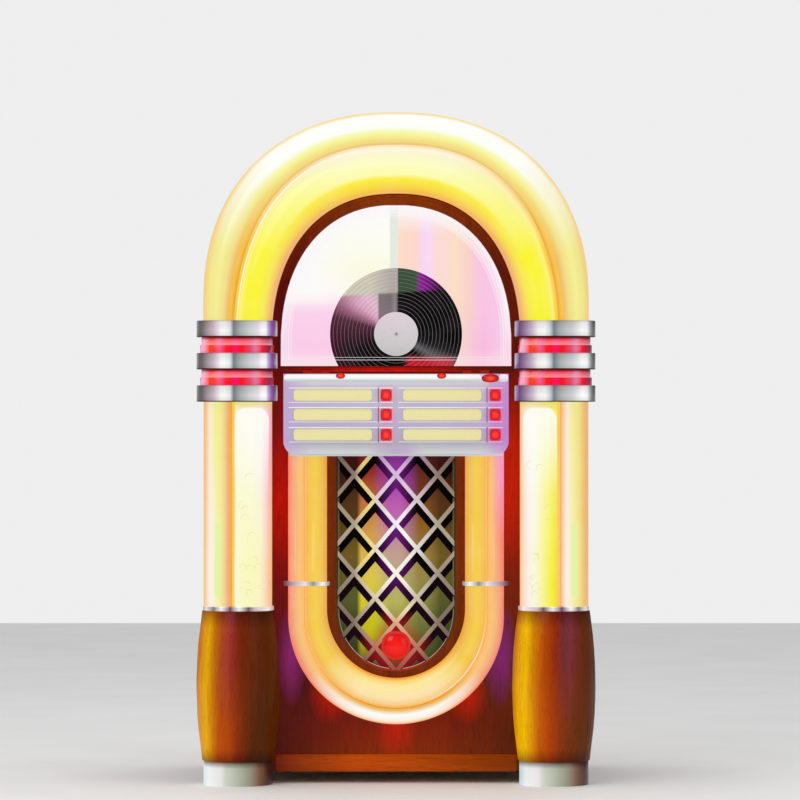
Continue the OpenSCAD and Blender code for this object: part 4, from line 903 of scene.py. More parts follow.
def lattice_material():
    """Polished bars in painted light: bright in the middle and shaded at the sides, with a gold highlight
    left of the middle, painted shade on the undersides and a red glow near the play button.
    """
    s = Shader("lattice_polish")
    x, z = s.axis("X"), s.axis("Z")
    side = s.span(s.size(x), 0.02, 0.1)
    smudge = s.noise(30.0, 3.0)
    up = s.span(z, *GRILLE_Z)
    # painted light: bars bright in the middle, shaded towards the sides
    bright = s.ramp(up, [(0.0, 120, 70, 60), (0.2, 240, 216, 170), (0.38, 255, 246, 226),
                         (0.6, 255, 252, 255), (0.8, 244, 224, 244), (1.0, 190, 130, 200)])
    side_shade = s.ramp(up, [(0.0, 84, 62, 58), (0.3, 132, 118, 100), (0.6, 182, 168, 146), (0.8, 150, 132, 114),
                       (1.0, 106, 78, 72)])
    # a painted gold highlight on the bars left of the middle
    gold_highlight = s.times(s.fall(s.size(s.plus(x, 0.066)), 0.012, 0.026),
                  s.span(z, 0.4, 0.5))
    colour = s.mix(side, bright, side_shade)
    colour = s.tint(colour, s.times(gold_highlight, 0.8), 250, 226, 130)
    colour = s.tint(colour, s.span(smudge, 0.35, 0.75, 0.0, 0.3), 150, 132, 120)
    # painted shade on the faces turned away from the front
    facing = s.add("NewGeometry").outputs["True Normal"]
    front = s.times(s.axis("Y", facing), -1.0)
    upper = s.math("GREATER_THAN", s.axis("Z", facing), 0.2)
    lit = s.math("MAXIMUM", s.span(front, 0.86, 0.95), s.times(upper, 0.6))
    shade = s.mix(s.span(s.size(x), 0.0, 0.045), lin(104, 28, 116), lin(10, 6, 6))
    shade = s.mix(s.span(z, 0.5, 0.4), shade, lin(26, 10, 20))
    colour = s.mix(lit, shade, colour)
    # a painted red glow from the play button
    colour = s.tint(colour, s.times(near_button(s, 0.085), 0.5), 214, 44, 40)
    return s.surface(colour=colour, metal=s.times(lit, 0.3), glow=0.85,
                     rough=s.vary(smudge, 0.24, 0.38), specular=s.times(lit, 0.2),
                     normal=s.bump(s.noise(300.0), 0.06, 0.0003))


def glass_material(name, tint, cover):
    """Clear glass that stays see-through in every view, with a faint haze at a slant."""
    s = Shader(name)
    facing = s.add("LayerWeight", {"Blend": 0.12}).outputs["Facing"]
    dust = s.noise(22.0, 4.0)
    amount = s.plus(s.span(facing, 0.0, 1.0, cover, 0.4), s.span(dust, 0.45, 0.8, 0.0, 0.02))
    return s.surface(colour=lin(*tint), rough=0.08, alpha=amount, coat=0.5, coat_rough=0.02,
                     normal=s.bump(dust, 0.01, 0.0005))


def window_material():
    """Clear window, with a faint painted reflection, a pale sheet, over its upper left."""
    s = Shader("window_pane")
    x, z = s.axis("X"), s.axis("Z")
    dust = s.noise(22.0, 4.0)
    high = s.span(s.minus(z, s.times(x, SLANT)), SLANT_Z - 0.001, SLANT_Z + 0.001)
    sheet = s.times(high, s.fall(x, *MIDLINE), 0.02)
    amount = s.plus(sheet, s.span(dust, 0.45, 0.8, 0.0, 0.004))
    return s.surface(colour=lin(255, 252, 250), rough=0.1, alpha=amount, specular=0.3,
                     glow=0.9, normal=s.bump(dust, 0.01, 0.0005))


PANEL_LO, PANEL_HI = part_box("title_panel")
HUB_LO, HUB_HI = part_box("drive_hub")
SPINDLE = (HUB_LO + HUB_HI) / 2
PLAY_LO, PLAY_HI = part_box("play_button")
PLAY_MID = (PLAY_LO + PLAY_HI) / 2

MAT_PANEL = panel_material()
MAT_CARD = card_material()
MAT_VINYL = vinyl_material()
MAT_STORED = stored_vinyl_material()
MAT_LABEL = label_material()
MAT_BACKDROP = backdrop_material()
MAT_CLOTH = cloth_material()
MAT_LATTICE = lattice_material()
MAT_WINDOW = window_material()
MAT_VALVE = glass_material("valve_envelope", (210, 226, 235), 0.4)
MAT_LAMP = painted("lamp_phosphor", (250, 246, 232), 0.3, 200.0, 0.05, worn=0.04)
MAT_RED_BAND = red_band_material()


# ---------------------------------------------------------------- glowing covers and tubes
COVER_DEPTH = FRONT_Y - COVER_LO.y
TUBE_DEPTH = FRONT_Y - TUBE_LO.y
PILLAR_LO, PILLAR_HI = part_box("pillar_light_covers")
PILLAR_IN_X = 0.369
PILLAR_TUBE_IN_X = 0.279


def build_arch():
    """The light cover and the bubble tube of the arch."""
    stand_in("arch_light_cover", "_shell", arch_sweep(DIVISION, OUTER, cover_section, COVER_DEPTH),
             MAT_ARCH_COVER)
    stand_in("arch_bubble_tube", "_shell", arch_sweep(TUBE_EDGE, DIVISION, tube_section, TUBE_DEPTH),
             MAT_ARCH_TUBE)


def build_pillars():
    """The light covers and the bubble tubes of the two pillars."""
    for node, x_in, x_out, section, depth, material in (
            ("pillar_light_covers", PILLAR_IN_X, PILLAR_HI.x, cover_section, COVER_DEPTH, MAT_PILLAR_COVER),
            ("pillar_bubble_tubes", PILLAR_TUBE_IN_X, PILLAR_IN_X, tube_section, TUBE_DEPTH,
             MAT_PILLAR_TUBE)):
        bm = bmesh.new()
        bm.verts.layers.float_vector.new("place")
        for side in (-1, 1):
            straight_sweep(bm, side * (x_in + x_out) / 2, (x_out - x_in) / 2, section, depth,
                           PILLAR_LO.z, PILLAR_HI.z, side)
        stand_in(node, "_shell", bm, material)


GRILLE_LO, GRILLE_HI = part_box("grille_light_cover")
GRILLE_TUBE_LO, GRILLE_TUBE_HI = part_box("grille_bubble_tube")
GRILLE_MID_R = GRILLE_TUBE_HI.x
GRILLE_IN_R = 0.1556
GRILLE_ARC_Z = GRILLE_LO.z + GRILLE_HI.x
GRILLE_IN_Z = 0.395


def u_sweep(r_in, z_in, r_out, z_out, section, depth, steps=96):
    """Sweeps a section down one side, round the bottom and up the other side."""
    top = GRILLE_HI.z
    rings, places = [], []
    turns = [math.pi + math.pi * i / steps for i in range(steps + 1)]
    path = [(top, math.pi)] + [(None, turn) for turn in turns] + [(top, 2 * math.pi)]
    for level, t in path:
        c, sn = math.cos(t), math.sin(t)
        z0 = level or z_in + r_in * sn
        z1 = level or z_out + r_out * sn
        x0, x1 = r_in * c, r_out * c
        width = math.hypot(x1 - x0, z1 - z0)
        ring, marks = [], []
        for a, y in section(width / 2, depth):
            f = 0.5 + a / width
            ring.append((x0 + (x1 - x0) * f, y, z0 + (z1 - z0) * f))
            low = 0.0 if level else -sn
            marks.append((f, low / 2))
        rings.append(ring)
        places.append(marks)
    return loft(rings, glow=places)


def build_grille_tubes():
    """The light cover and the bubble tube round the grille."""
    cover = u_sweep(GRILLE_MID_R, GRILLE_ARC_Z, GRILLE_HI.x, GRILLE_ARC_Z, cover_section,
                    FRONT_Y - GRILLE_LO.y)
    stand_in("grille_light_cover", "_shell", cover, MAT_GRILLE_COVER)
    tube = u_sweep(GRILLE_IN_R, GRILLE_IN_Z, GRILLE_MID_R, GRILLE_ARC_Z, tube_section,
                   FRONT_Y - GRILLE_TUBE_LO.y)
    stand_in("grille_bubble_tube", "_shell", tube, MAT_GRILLE_TUBE)


build_arch()
build_pillars()
build_grille_tubes()


# ---------------------------------------------------------------- simple stand-ins with softened edges
# the two barrels' lacquers differ only in their painted highlight and shade
MAT_BARREL_LEFT, MAT_BARREL_RIGHT = (
    lacquered_wood(name, barrel_colour(x_mid), (60.0, 60.0, 3.0), 0.14, 0.24, 0.05, power=0.95)
    for name, x_mid in (("left_barrel_lacquer", -BARREL_X), ("right_barrel_lacquer", BARREL_X)))


FOOT_X0, FOOT_X1 = 0.278, 0.434               # from the middle of the jukebox to a foot's two sides


def foot_colour(s):
    """Silver that turns from bright on the left to dark brown on the right, as the room is reflected, and is
    darker at the top in painted shade under the barrel.
    """
    x = s.axis("X")
    at = s.mix(s.math("GREATER_THAN", x, 0.0), s.span(x, -FOOT_X1, -FOOT_X0), s.span(x, FOOT_X0, FOOT_X1))
    side = s.ramp(at, [(0.0, 190, 222, 222), (0.08, 240, 246, 246), (0.26, 238, 234, 234),
                       (0.34, 206, 210, 196), (0.5, 180, 186, 168), (0.68, 150, 146, 126),
                       (0.82, 122, 82, 62), (0.93, 66, 30, 24), (1.0, 34, 14, 12)])
    return s.mix(1.0, side, s.ramp(s.span(s.axis("Z"), 0.04, 0.054), [(0.0, 255, 255, 255),
                                                                      (1.0, 120, 100, 90)]), "MULTIPLY")


MAT_FOOT = polished_metal("foot_silver", foot_colour, 0.2, (60.0, 60.0, 500.0), power=0.85, metal=0.6)


def ring_colour(s):
    """Bright and dark stripes of painted reflection; the small rings beside the grille have their own."""
    x = s.size(s.axis("X"))
    outer = s.ramp(s.span(x, 0.27, 0.44), [(0.0, 120, 96, 96), (0.1, 250, 246, 240), (0.28, 210, 190, 196),
                                          (0.36, 110, 84, 90), (0.48, 250, 250, 250), (0.6, 116, 60, 90),
                                          (0.72, 252, 250, 250), (0.82, 140, 120, 120), (0.92, 236, 230, 226),
                                          (1.0, 90, 70, 70)])
    inner = s.ramp(s.span(x, 0.15, 0.25), [(0.0, 150, 150, 158), (0.16, 255, 255, 255), (0.36, 150, 148, 156),
                                          (0.55, 240, 236, 240), (0.8, 196, 170, 190), (1.0, 110, 70, 80)])
    return s.mix(s.math("LESS_THAN", x, 0.262), outer, inner)


MAT_RING = polished_metal("tube_ring_chrome", ring_colour, 0.22, power=0.85)

ROUNDED = (                                    # node, edge radius, material
    ("chrome_bands", 0.0015, MAT_CHROME), ("red_bands", 0.0015, MAT_RED_BAND),
    ("tube_rings", 0.002, MAT_RING),
    ("left_barrel", 0.003, MAT_BARREL_LEFT), ("right_barrel", 0.003, MAT_BARREL_RIGHT),
    ("front_feet", 0.003, MAT_FOOT), ("rear_feet", 0.002, MAT_RUBBER),
    ("cabinet_shell", 0.004, MAT_CABINET), ("floor_board", 0.001, MAT_BOARD),
    ("front_panel", 0.0008, MAT_FRONT), ("plinth_rail", 0.003, MAT_PLINTH),
    ("window_surround", 0.0015, MAT_DARK_WOOD), ("window_frame", 0.002, MAT_DARK_WOOD),
    ("grille_frame", 0.0015, MAT_GRILLE_WOOD), ("title_panel", 0.0015, MAT_PANEL),
    ("title_cards", 0.0004, MAT_CARD),
    ("rear_door", 0.003, MAT_DOOR), ("rear_latch", 0.001, MAT_STEEL),
    ("drive_hub", 0.001, MAT_TRIM), ("record_label", 0.0002, MAT_LABEL),
    ("mechanism_deck", 0.001, MAT_GREY), ("tonearm", 0.0006, MAT_ALUMINIUM),
    ("magazine_rails", 0.001, MAT_STEEL), ("amplifier_chassis", 0.0015, MAT_STEEL),
    ("transformer", 0.001, MAT_BLACK), ("volume_knob", 0.0006, MAT_KNOB), ("power_inlet", 0.0006, MAT_KNOB),
    ("drive_motor", 0.001, MAT_BLACK), ("record_magazine", 0.001, MAT_GREY),
)


DRESSED = (                                    # nodes carried over as they are
    ("window_hinges", MAT_HINGE), ("rear_hinges", MAT_STEEL),
    ("grille_cloth", MAT_CLOTH), ("speaker_frame", MAT_BLACK), ("speaker_cone", MAT_CONE),
    ("speaker_magnet", MAT_STEEL), ("speaker_screws", MAT_STEEL), ("motor_pulley", MAT_ALUMINIUM),
    ("drive_belt", MAT_RUBBER), ("stored_records", MAT_STORED), ("valves", MAT_VALVE),
    ("lamp_tubes", MAT_LAMP),
    ("display_backdrop", MAT_BACKDROP), ("window_glass", MAT_WINDOW), ("record", MAT_VINYL),
)

for node_name, edge_width, finish in ROUNDED:
    rounded(node_name, edge_width, finish)
for node_name, finish in DRESSED:
    dress(node_name, finish)


# ---------------------------------------------------------------- buttons and jewels
def button_material(name, stops, power=0.85):
    """Translucent red moulding; place.x runs from the middle (0) to the rim (1)."""
    s = Shader(name)
    cloud = s.noise(160.0, 3.0)
    across = s.plus(s.place("X"), s.vary(cloud, -0.04, 0.04))
    colour = s.ramp(across, stops)
    return s.surface(colour=colour, glow=power, rough=s.vary(cloud, 0.14, 0.22),
                     coat=0.2, coat_rough=0.08, specular=0.2, normal=s.bump(cloud, 0.05, 0.0006))


def superellipse(half_w, half_h, power, steps=48):
    """Points round a rounded rectangle; power 2 is an ellipse."""
    points = []
    for i in range(steps):
        t = 2 * math.pi * i / steps
        c, sn = math.cos(t), math.sin(t)
        points.append((half_w * math.copysign(abs(c) ** (2 / power), c),
                       half_h * math.copysign(abs(sn) ** (2 / power), sn)))
    return points


def round_rect(half_w, half_h, radius, steps=8):
    """Points round a rectangle with circular corners."""
    points = []
    for cx, cz, start in ((half_w, half_h, 0), (-half_w, half_h, 1), (-half_w, -half_h, 2),
                          (half_w, -half_h, 3)):
        for i in range(steps + 1):
            t = math.pi / 2 * (start + i / steps)
            points.append((cx - math.copysign(radius, cx) + radius * math.cos(t),
                           cz - math.copysign(radius, cz) + radius * math.sin(t)))
    return points


def button_cap(bm, centre, half_w, half_h, back_y, front_y, power, dome):
    """A pressable cap: straight sides, a soft rim, a shallow groove and a domed middle."""
    rise = back_y - front_y
    profile = [(1.0, 0.0, 1.0), (1.0, 0.55, 1.0), (0.98, 0.72, 0.98), (0.92, 0.82, 0.93), (0.84, 0.84, 0.86),
               (0.78, 0.78, 0.8), (0.72, 0.8, 0.72), (0.6, 0.9, 0.6), (0.42, 0.96, 0.42), (0.22, 0.99, 0.22),
               (0.04, 1.0, 0.04)]
    if dome:
        profile = [(1.0, 0.0, 1.0)] + [(math.cos(a), 0.25 + 0.75 * math.sin(a), math.cos(a))
                                       for a in (math.radians(d) for d in range(0, 88, 9))]
    rings, places = [], []
    for scale, height, mark in profile:
        corner = power + (2.0 - power) * (1 - scale) * 1.4 if scale > 0.3 else 2.0
        outline = superellipse(half_w * scale, half_h * scale, max(2.0, corner))
        rings.append([(centre.x + x, back_y - rise * height, centre.z + z) for x, z in outline])
        places.append([(mark, 0.0)] * len(outline))
    return loft(rings, glow=places, into=bm)


# Colours from the middle of a cap to its rim: the lighter middles and pink rings are painted highlights, the
# darker rims painted shade
SELECT_STOPS = [(0.0, 255, 74, 48), (0.35, 250, 44, 34), (0.62, 232, 22, 30), (0.74, 178, 14, 30),
                (0.84, 236, 70, 90), (0.95, 206, 30, 56), (1.0, 120, 16, 34)]
OVAL_STOPS = [(0.0, 255, 96, 60), (0.45, 248, 44, 30), (0.7, 206, 10, 12), (0.88, 160, 6, 12),
              (1.0, 110, 6, 12)]
DOME_STOPS = [(0.0, 250, 26, 14), (0.55, 240, 10, 6), (0.8, 214, 10, 10), (0.92, 226, 46, 44),
              (1.0, 160, 20, 20)]
MAT_SELECT = button_material("select_red_plastic", SELECT_STOPS)
MAT_OVAL = button_material("oval_red_plastic", OVAL_STOPS, 0.9)
MAT_DOME = button_material("dome_red_plastic", DOME_STOPS, 0.92)


OVAL_HALF_H = 0.0095
OVAL_LIFT = 0.0045                            # more than its travel, so that its head never meets the panel


def cap_for(node, power, dome):
    """A cap that fills the CAD box of a button."""
    lo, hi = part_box(node)
    half_w, half_h = (hi.x - lo.x) / 2, (hi.z - lo.z) / 2
    return button_cap(bmesh.new(), (lo + hi) / 2, half_w, half_h, hi.y, lo.y, power, dome)


def build_buttons():
    """Caps for the select, cancel and play buttons, and for the pilot jewels."""
    for n in range(1, 7):
        node = f"select_button_{n}"
        stand_in(node, "_cap", cap_for(node, 2.8, False), MAT_SELECT)
    lo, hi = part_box("cancel_button")
    middle, half_w = (lo + hi) / 2, (hi.x - lo.x) / 2
    under = PANEL_LO.y - OVAL_LIFT
    oval = button_cap(bmesh.new(), middle, half_w, OVAL_HALF_H, under, lo.y - 0.003, 2.2, True)
    neck = superellipse(half_w * 0.9, (hi.z - lo.z) / 2 * 0.9, 2.2)
    loft([[(middle.x + x, y, middle.z + z) for x, z in neck] for y in (hi.y, under - 0.0005)], into=oval)
    stand_in("cancel_button", "_cap", oval, MAT_OVAL)
    stand_in("play_button", "_cap", cap_for("play_button", 2.0, True), MAT_DOME)
    lo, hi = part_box("pilot_jewels")
    half = (hi.z - lo.z) / 2
    jewels = bmesh.new()
    for x in (lo.x + half, hi.x - half):
        middle = Vector((x, 0, (lo.z + hi.z) / 2))
        button_cap(jewels, middle, half * 1.25, half * 0.8, PANEL_LO.y, lo.y, 2.0, True)
    piece = new_piece("pilot_jewel_caps", jewels, MAT_OVAL)
    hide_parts("pilot_jewels")


# ---------------------------------------------------------------- title panel rims
def box_into(bm, lo, hi):
    """A box between two corners, added to bm."""
    made = bmesh.ops.create_cube(bm, size=1.0)
    for v in made["verts"]:
        v.co = Vector([(a + b) / 2 + (b - a) * c for a, b, c in zip(lo, hi, v.co)])


def bevel_piece(obj, width, segments):
    """Rounds the edges of a made piece."""
    bevel = obj.modifiers.new("edges", "BEVEL")
    bevel.width = width
    bevel.segments = segments
    bevel.limit_method = "ANGLE"
    bevel.harden_normals = True


def rim_material():
    """White enamel lips that catch the light."""
    s = Shader("panel_lip_enamel")
    x = s.axis("X")
    fine = s.brushed()
    colour = s.mix(s.span(x, 0.1, 0.25), lin(250, 250, 252), lin(244, 190, 250))
    colour = s.tint(colour, s.span(fine, 0.4, 0.8, 0.0, 0.2), 214, 208, 222)
    return s.surface(colour=colour, glow=0.85, rough=s.vary(fine, 0.25, 0.35),
                     normal=s.bump(fine, 0.04, 0.0003))


ROW_H = 0.0335                                # height of a title row, lip to lip
LIP = 0.0017                                  # height of a lip
SUNK = 0.001                                  # how far lips and seam shadows go back into the panel
CARD_TRAY = ((-0.241, -0.0405), (0.005, 0.2035))    # from and to, left and right column
BUTTON_TRAY = ((-0.038, -0.0065), (0.2065, 0.2395))
ROW_Z = sorted({round(((a + b) / 2).z, 4) for a, b in (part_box(f"select_button_{n}") for n in range(1, 7))})


def build_title_rows():
    """Lips round each row of the title panel, dark strips of painted shadow at the seams beside the cards,
    and the ledges above and below.
    """
    lips, dark = bmesh.new(), bmesh.new()
    face = PANEL_LO.y
    for z in ROW_Z:
        top, foot = z + ROW_H / 2, z - ROW_H / 2
        for x0, x1 in CARD_TRAY + BUTTON_TRAY:
            box_into(lips, (x0, face - 0.0022, top - LIP), (x1, face + SUNK, top))
            box_into(lips, (x0, face - 0.0012, foot), (x1, face + SUNK, foot + LIP * 0.6))
        # dark strips of painted shadow beside the cards
        for _, x1 in CARD_TRAY:
            box_into(dark, (x1, face - 0.0005, foot), (x1 + 0.0016, face + SUNK, top))
    bevel_piece(new_piece("title_row_lips", lips, MAT_LIP), 0.0005, 2)
    bevel_piece(new_piece("title_row_seam_shadows", dark, MAT_SEAM_SHADOW), 0.0002, 1)
    ledge = bmesh.new()
    half = PANEL_HI.x
    oval_lo, oval_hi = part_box("cancel_button")
    upper = (PANEL_HI.z - 0.018, PANEL_HI.z - 0.0005)
    lower = (PANEL_LO.z + 0.001, PANEL_LO.z + 0.0055)
    for x0, x1, (z0, z1), corner in ((-half + 0.0015, oval_lo.x - 0.0015, upper, 0.0085),
                                     (oval_hi.x + 0.0015, half - 0.0015, upper, 0.005),
                                     (-half + 0.013, half - 0.013, lower, 0.0019)):
        outline = round_rect((x1 - x0) / 2, (z1 - z0) / 2, corner)
        rings = [[((x0 + x1) / 2 + x, y, (z0 + z1) / 2 + z) for x, z in outline]
                 for y in (face + 0.002, face - 0.0015)]
        loft(rings, into=ledge)
    bevel_piece(new_piece("title_panel_ledges", ledge, MAT_LEDGE), 0.0014, 4)


MAT_LIP = rim_material()
# dark strips of painted shadow along the seams beside the cards
MAT_SEAM_SHADOW = painted("panel_seam_shadow", (58, 50, 60), 0.6, 200.0, 0.2)


def ledge_material():
    """The bright ledge along the top: white where it turns to the light, grey-green under it."""
    s = Shader("panel_ledge_enamel")
    x, z = s.axis("X"), s.axis("Z")
    colour = s.ramp(s.span(z, PANEL_HI.z - 0.02, PANEL_HI.z),
                    [(0.0, 188, 196, 192), (0.3, 206, 210, 208), (0.5, 246, 248, 248),
                     (0.8, 255, 255, 255), (1.0, 214, 214, 220)])
    colour = s.tint(colour, s.span(x, 0.15, 0.25, 0.0, 0.5), 246, 210, 250)
    fine = s.brushed()
    colour = s.tint(colour, s.span(fine, 0.4, 0.8, 0.0, 0.12), 206, 206, 214)
    return s.surface(colour=colour, glow=0.8, rough=s.vary(fine, 0.25, 0.35),
                     specular=0.2, normal=s.bump(fine, 0.04, 0.0003))


MAT_LEDGE = ledge_material()


# ---------------------------------------------------------------- grille lattice and trims
LATTICE_LO, LATTICE_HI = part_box("grille_lattice")
LATTICE_HALF = LATTICE_HI.x
LATTICE_ARC_Z = LATTICE_LO.z + LATTICE_HALF
CELL_W, CELL_H = 0.094, 0.111
CROSSING_Z = 0.364                            # a crossing of bars on the middle line
# A bar's front reaches BAR_UP above its middle line and BAR_FLAT below; its underside slopes on by BAR_SLOPE
BAR_UP, BAR_FLAT, BAR_SLOPE = 0.0044, 0.0044, 0.0150


def clip_to_grille(bm):
    """Cuts away everything outside the grille opening."""
    half = LATTICE_HALF
    planes = [((half, 0, 0), (1, 0, 0)), ((-half, 0, 0), (-1, 0, 0)), ((0, 0, LATTICE_HI.z), (0, 0, 1))]
    steps = 24
    for i in range(steps):
        t = math.pi + math.pi * (i + 0.5) / steps
        normal = (math.cos(t), 0, math.sin(t))
        planes.append(((half * normal[0], 0, LATTICE_ARC_Z + half * normal[2]), normal))
    for point, normal in planes:
        geom = list(bm.verts) + list(bm.edges) + list(bm.faces)
        cut = bmesh.ops.bisect_plane(bm, geom=geom, plane_co=point, plane_no=normal, clear_outer=True)
        edges = [e for e in cut["geom_cut"] if isinstance(e, bmesh.types.BMEdge)]
        bmesh.ops.holes_fill(bm, edges=edges, sides=0)


def build_lattice():
    """Two crossing sets of tapered bars, trimmed to the grille opening."""
    slope = math.atan2(CELL_H, CELL_W)
    front, back = LATTICE_LO.y, LATTICE_HI.y - 0.0002
    anchor = Vector((0.0, 0.0, CROSSING_Z))
    bm = bmesh.new()
    for lean in (1, -1):
        along = Vector((math.cos(slope) * lean, 0, math.sin(slope)))
        up = Vector((-math.sin(slope) * lean, 0, math.cos(slope)))
        if up.z < 0:
            up = -up
        depth = 0.0 if lean > 0 else 0.0004
        section = [(BAR_UP, front - depth), (-BAR_FLAT, front - depth), (-BAR_FLAT - BAR_SLOPE, back),
                   (BAR_UP, back)]
        for k in range(-5, 6):
            middle = anchor + Vector((CELL_W * k, 0, 0))
            ends = [middle + along * -0.9, middle + along * 0.9]
            rings = [[(e.x + up.x * u, y, e.z + up.z * u) for u, y in section] for e in ends]
            loft(rings, into=bm)
    clip_to_grille(bm)
    stand_in("grille_lattice", "_bars", bm, MAT_LATTICE, smooth=False)


def u_strip(name, half, width, y0, y1, material):
    """A flat strip that follows the grille opening, width across and y0 to y1 deep."""
    rings = []
    turns = [math.pi + math.pi * i / 72 for i in range(73)]
    path = [(-1.0, 0.0, LATTICE_HI.z)]
    path += [(math.cos(t), math.sin(t), LATTICE_ARC_Z) for t in turns]
    path += [(1.0, 0.0, LATTICE_HI.z)]
    for c, sn, z in path:
        rings.append([(r * c, y, z + r * sn)
                      for r, y in ((half, y0), (half, y1), (half - width, y1), (half - width, y0))])
    bevel_piece(new_piece(name, loft(rings), material), width * 0.2, 2)


def olive_trim_material():
    """Dark olive, red at the foot where the lamps below reach it."""
    s = Shader("grille_inner_trim")
    z = s.axis("Z")
    grain = s.noise(90.0, 3.0)
    colour = s.ramp(s.span(z, 0.25, 0.76), [(0.0, 176, 40, 20), (0.12, 96, 40, 14), (0.3, 66, 58, 16),
                                           (1.0, 48, 36, 12)])
    colour = s.tint(colour, s.vary(grain, 0.0, 0.3), 30, 24, 8)
    return s.surface(colour=colour, glow=0.6, rough=s.vary(grain, 0.3, 0.42),
                     specular=0.2, normal=s.bump(grain, 0.1, 0.0004))


def bead_material():
    """Dull brass, paler where the lamps below reach it."""
    s = Shader("grille_bead_metal")
    z = s.axis("Z")
    fine = s.noise(300.0, 2.0)
    colour = s.ramp(s.span(z, 0.25, 0.76), [(0.0, 222, 190, 160), (0.3, 170, 164, 130), (1.0, 120, 110, 84)])
    colour = s.tint(colour, s.vary(fine, 0.0, 0.2), 90, 84, 60)
    return s.surface(colour=colour, glow=0.6, metal=0.6, rough=s.vary(fine, 0.25, 0.35),
                     normal=s.bump(fine, 0.03, 0.0002))


MAT_OLIVE = olive_trim_material()
MAT_BEAD = bead_material()


TRIM_R, TRIM_W = 0.1352, 0.0055               # outer edge and width of the dark trim inside the grille frame
BEAD_R, BEAD_W = 0.1302, 0.0016               # and of the bead inside it
TRIM_BACK = 0.008                             # how far both go back into the frame


def build_grille_trim():
    """The trim and the bead between the grille frame and the lattice."""
    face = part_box("grille_frame")[0].y
    u_strip("grille_inner_trim", TRIM_R, TRIM_W, face - 0.0006, face + TRIM_BACK, MAT_OLIVE)
    u_strip("grille_bead", BEAD_R, BEAD_W, face + 0.001, face + TRIM_BACK, MAT_BEAD)


# ---------------------------------------------------------------- window lines and bubbles
def bead_line_material():
    """Polished white metal."""
    s = Shader("window_bead")
    fine = s.noise(500.0, 2.0)
    colour = s.mix(s.span(fine, 0.3, 0.7), lin(255, 255, 255), lin(244, 240, 250))
    return s.surface(colour=colour, glow=0.9, rough=s.vary(fine, 0.2, 0.3),
                     normal=s.bump(fine, 0.03, 0.0002))


def build_window_lines():
    """Two thin beads that follow the edge of the glass."""
    half_w, rise, power, spring = WINDOW
    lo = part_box("window_glass")[0]
    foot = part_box("window_frame")[0].z + 0.0245
    for number, (inset, width) in enumerate(((0.0175, 0.001), (0.0235, 0.0007))):
        rings = []
        path = [(-1, foot + inset * 0.4)] + [(i, None) for i in range(97)] + [(1, foot + inset * 0.4)]
        for i, level in path:
            ring = []
            for gap, y in ((inset, lo.y - 0.0004), (inset, lo.y + 0.0005), (inset + width, lo.y + 0.0005),
                           (inset + width, lo.y - 0.0004)):
                w, h = half_w - gap, rise - gap
                if level is None:
                    t = math.pi - math.pi * i / 96
                    c, sn = math.cos(t), math.sin(t)
                    ring.append((w * math.copysign(abs(c) ** (2 / power), c), y,
                                 spring + h * abs(sn) ** (2 / power)))
                else:
                    ring.append((w * i, y, level))
            rings.append(ring)
        new_piece(f"window_bead_{number + 1}", loft(rings), MAT_WINDOW_BEAD, "window_door")
    bm = bmesh.new()
    for up, width in ((0.0055, 0.0008), (0.0115, 0.0006)):
        box_into(bm, (-half_w + 0.02, lo.y - 0.0004, foot + up),
                 (half_w - 0.02, lo.y + 0.0005, foot + up + width))
    new_piece("window_foot_beads", bm, MAT_WINDOW_BEAD, "window_door")


def bubble_material():
    """The faint edge of a bubble in the liquid, a little darker than the glow round it."""
    s = Shader("bubble_edge")
    fine = s.noise(300.0, 2.0)
    colour = s.mix(s.span(s.axis("Z"), 0.9, 1.0), lin(240, 228, 160), lin(248, 226, 60))
    colour = s.tint(colour, s.vary(fine, 0.0, 0.4), 224, 208, 130)
    return s.surface(colour=colour, glow=0.88, rough=s.vary(fine, 0.2, 0.3),
                     specular=0.1, normal=s.bump(fine, 0.03, 0.0002))


def bubble_into(bm, centre, turned, radius, start, sweep, thick=0.0006, steps=26):
    """A thin open ring lying on a tube, turned to the tube's side."""
    rings = []
    turn = Matrix.Rotation(turned, 3, "Z")
    for i in range(steps + 1):
        t = start + sweep * i / steps
        fade = max(0.0, math.sin(math.pi * i / steps)) ** 0.5
        r = thick * max(0.15, fade)
        middle = Vector((radius * math.cos(t), 0, radius * math.sin(t)))
        out = Vector((math.cos(t), 0, math.sin(t)))
        ring = []
        for k in range(6):
            a = 2 * math.pi * k / 6
            p = turn @ (middle + out * (r * math.cos(a)) + Vector((0, r * math.sin(a), 0)))
            ring.append(centre + p)
        rings.append(ring)
    loft(rings, into=bm)


def build_bubbles():
    """Clusters of bubbles low in each pillar tube, on its rounded front."""
    for side, name in ((-1, "left"), (1, "right")):
        bm = bmesh.new()
        mid = side * (PILLAR_IN_X + PILLAR_TUBE_IN_X) / 2
        half = (PILLAR_IN_X - PILLAR_TUBE_IN_X) / 2
        for _ in range(15):
            across = RNG.uniform(-0.55, 0.45)
            z = 0.43 + 0.34 * RNG.random() ** 1.5
            radius = RNG.uniform(0.004, 0.0105)
            y = FRONT_Y - TUBE_DEPTH / 2 - TUBE_DEPTH / 2 * math.sqrt(1 - across * across)
            slope = math.atan2(across * TUBE_DEPTH / 2 / half, math.sqrt(1 - across * across))
            start = RNG.uniform(-0.6, 1.2)
            bubble_into(bm, Vector((mid + half * across, y, z)), slope, radius, start, RNG.uniform(2.0, 4.6))
        new_piece(f"{name}_pillar_bubbles", bm, MAT_BUBBLE)


MAT_WINDOW_BEAD = bead_line_material()
MAT_BUBBLE = bubble_material()

build_buttons()
build_title_rows()
build_lattice()
build_grille_trim()
build_window_lines()
build_bubbles()


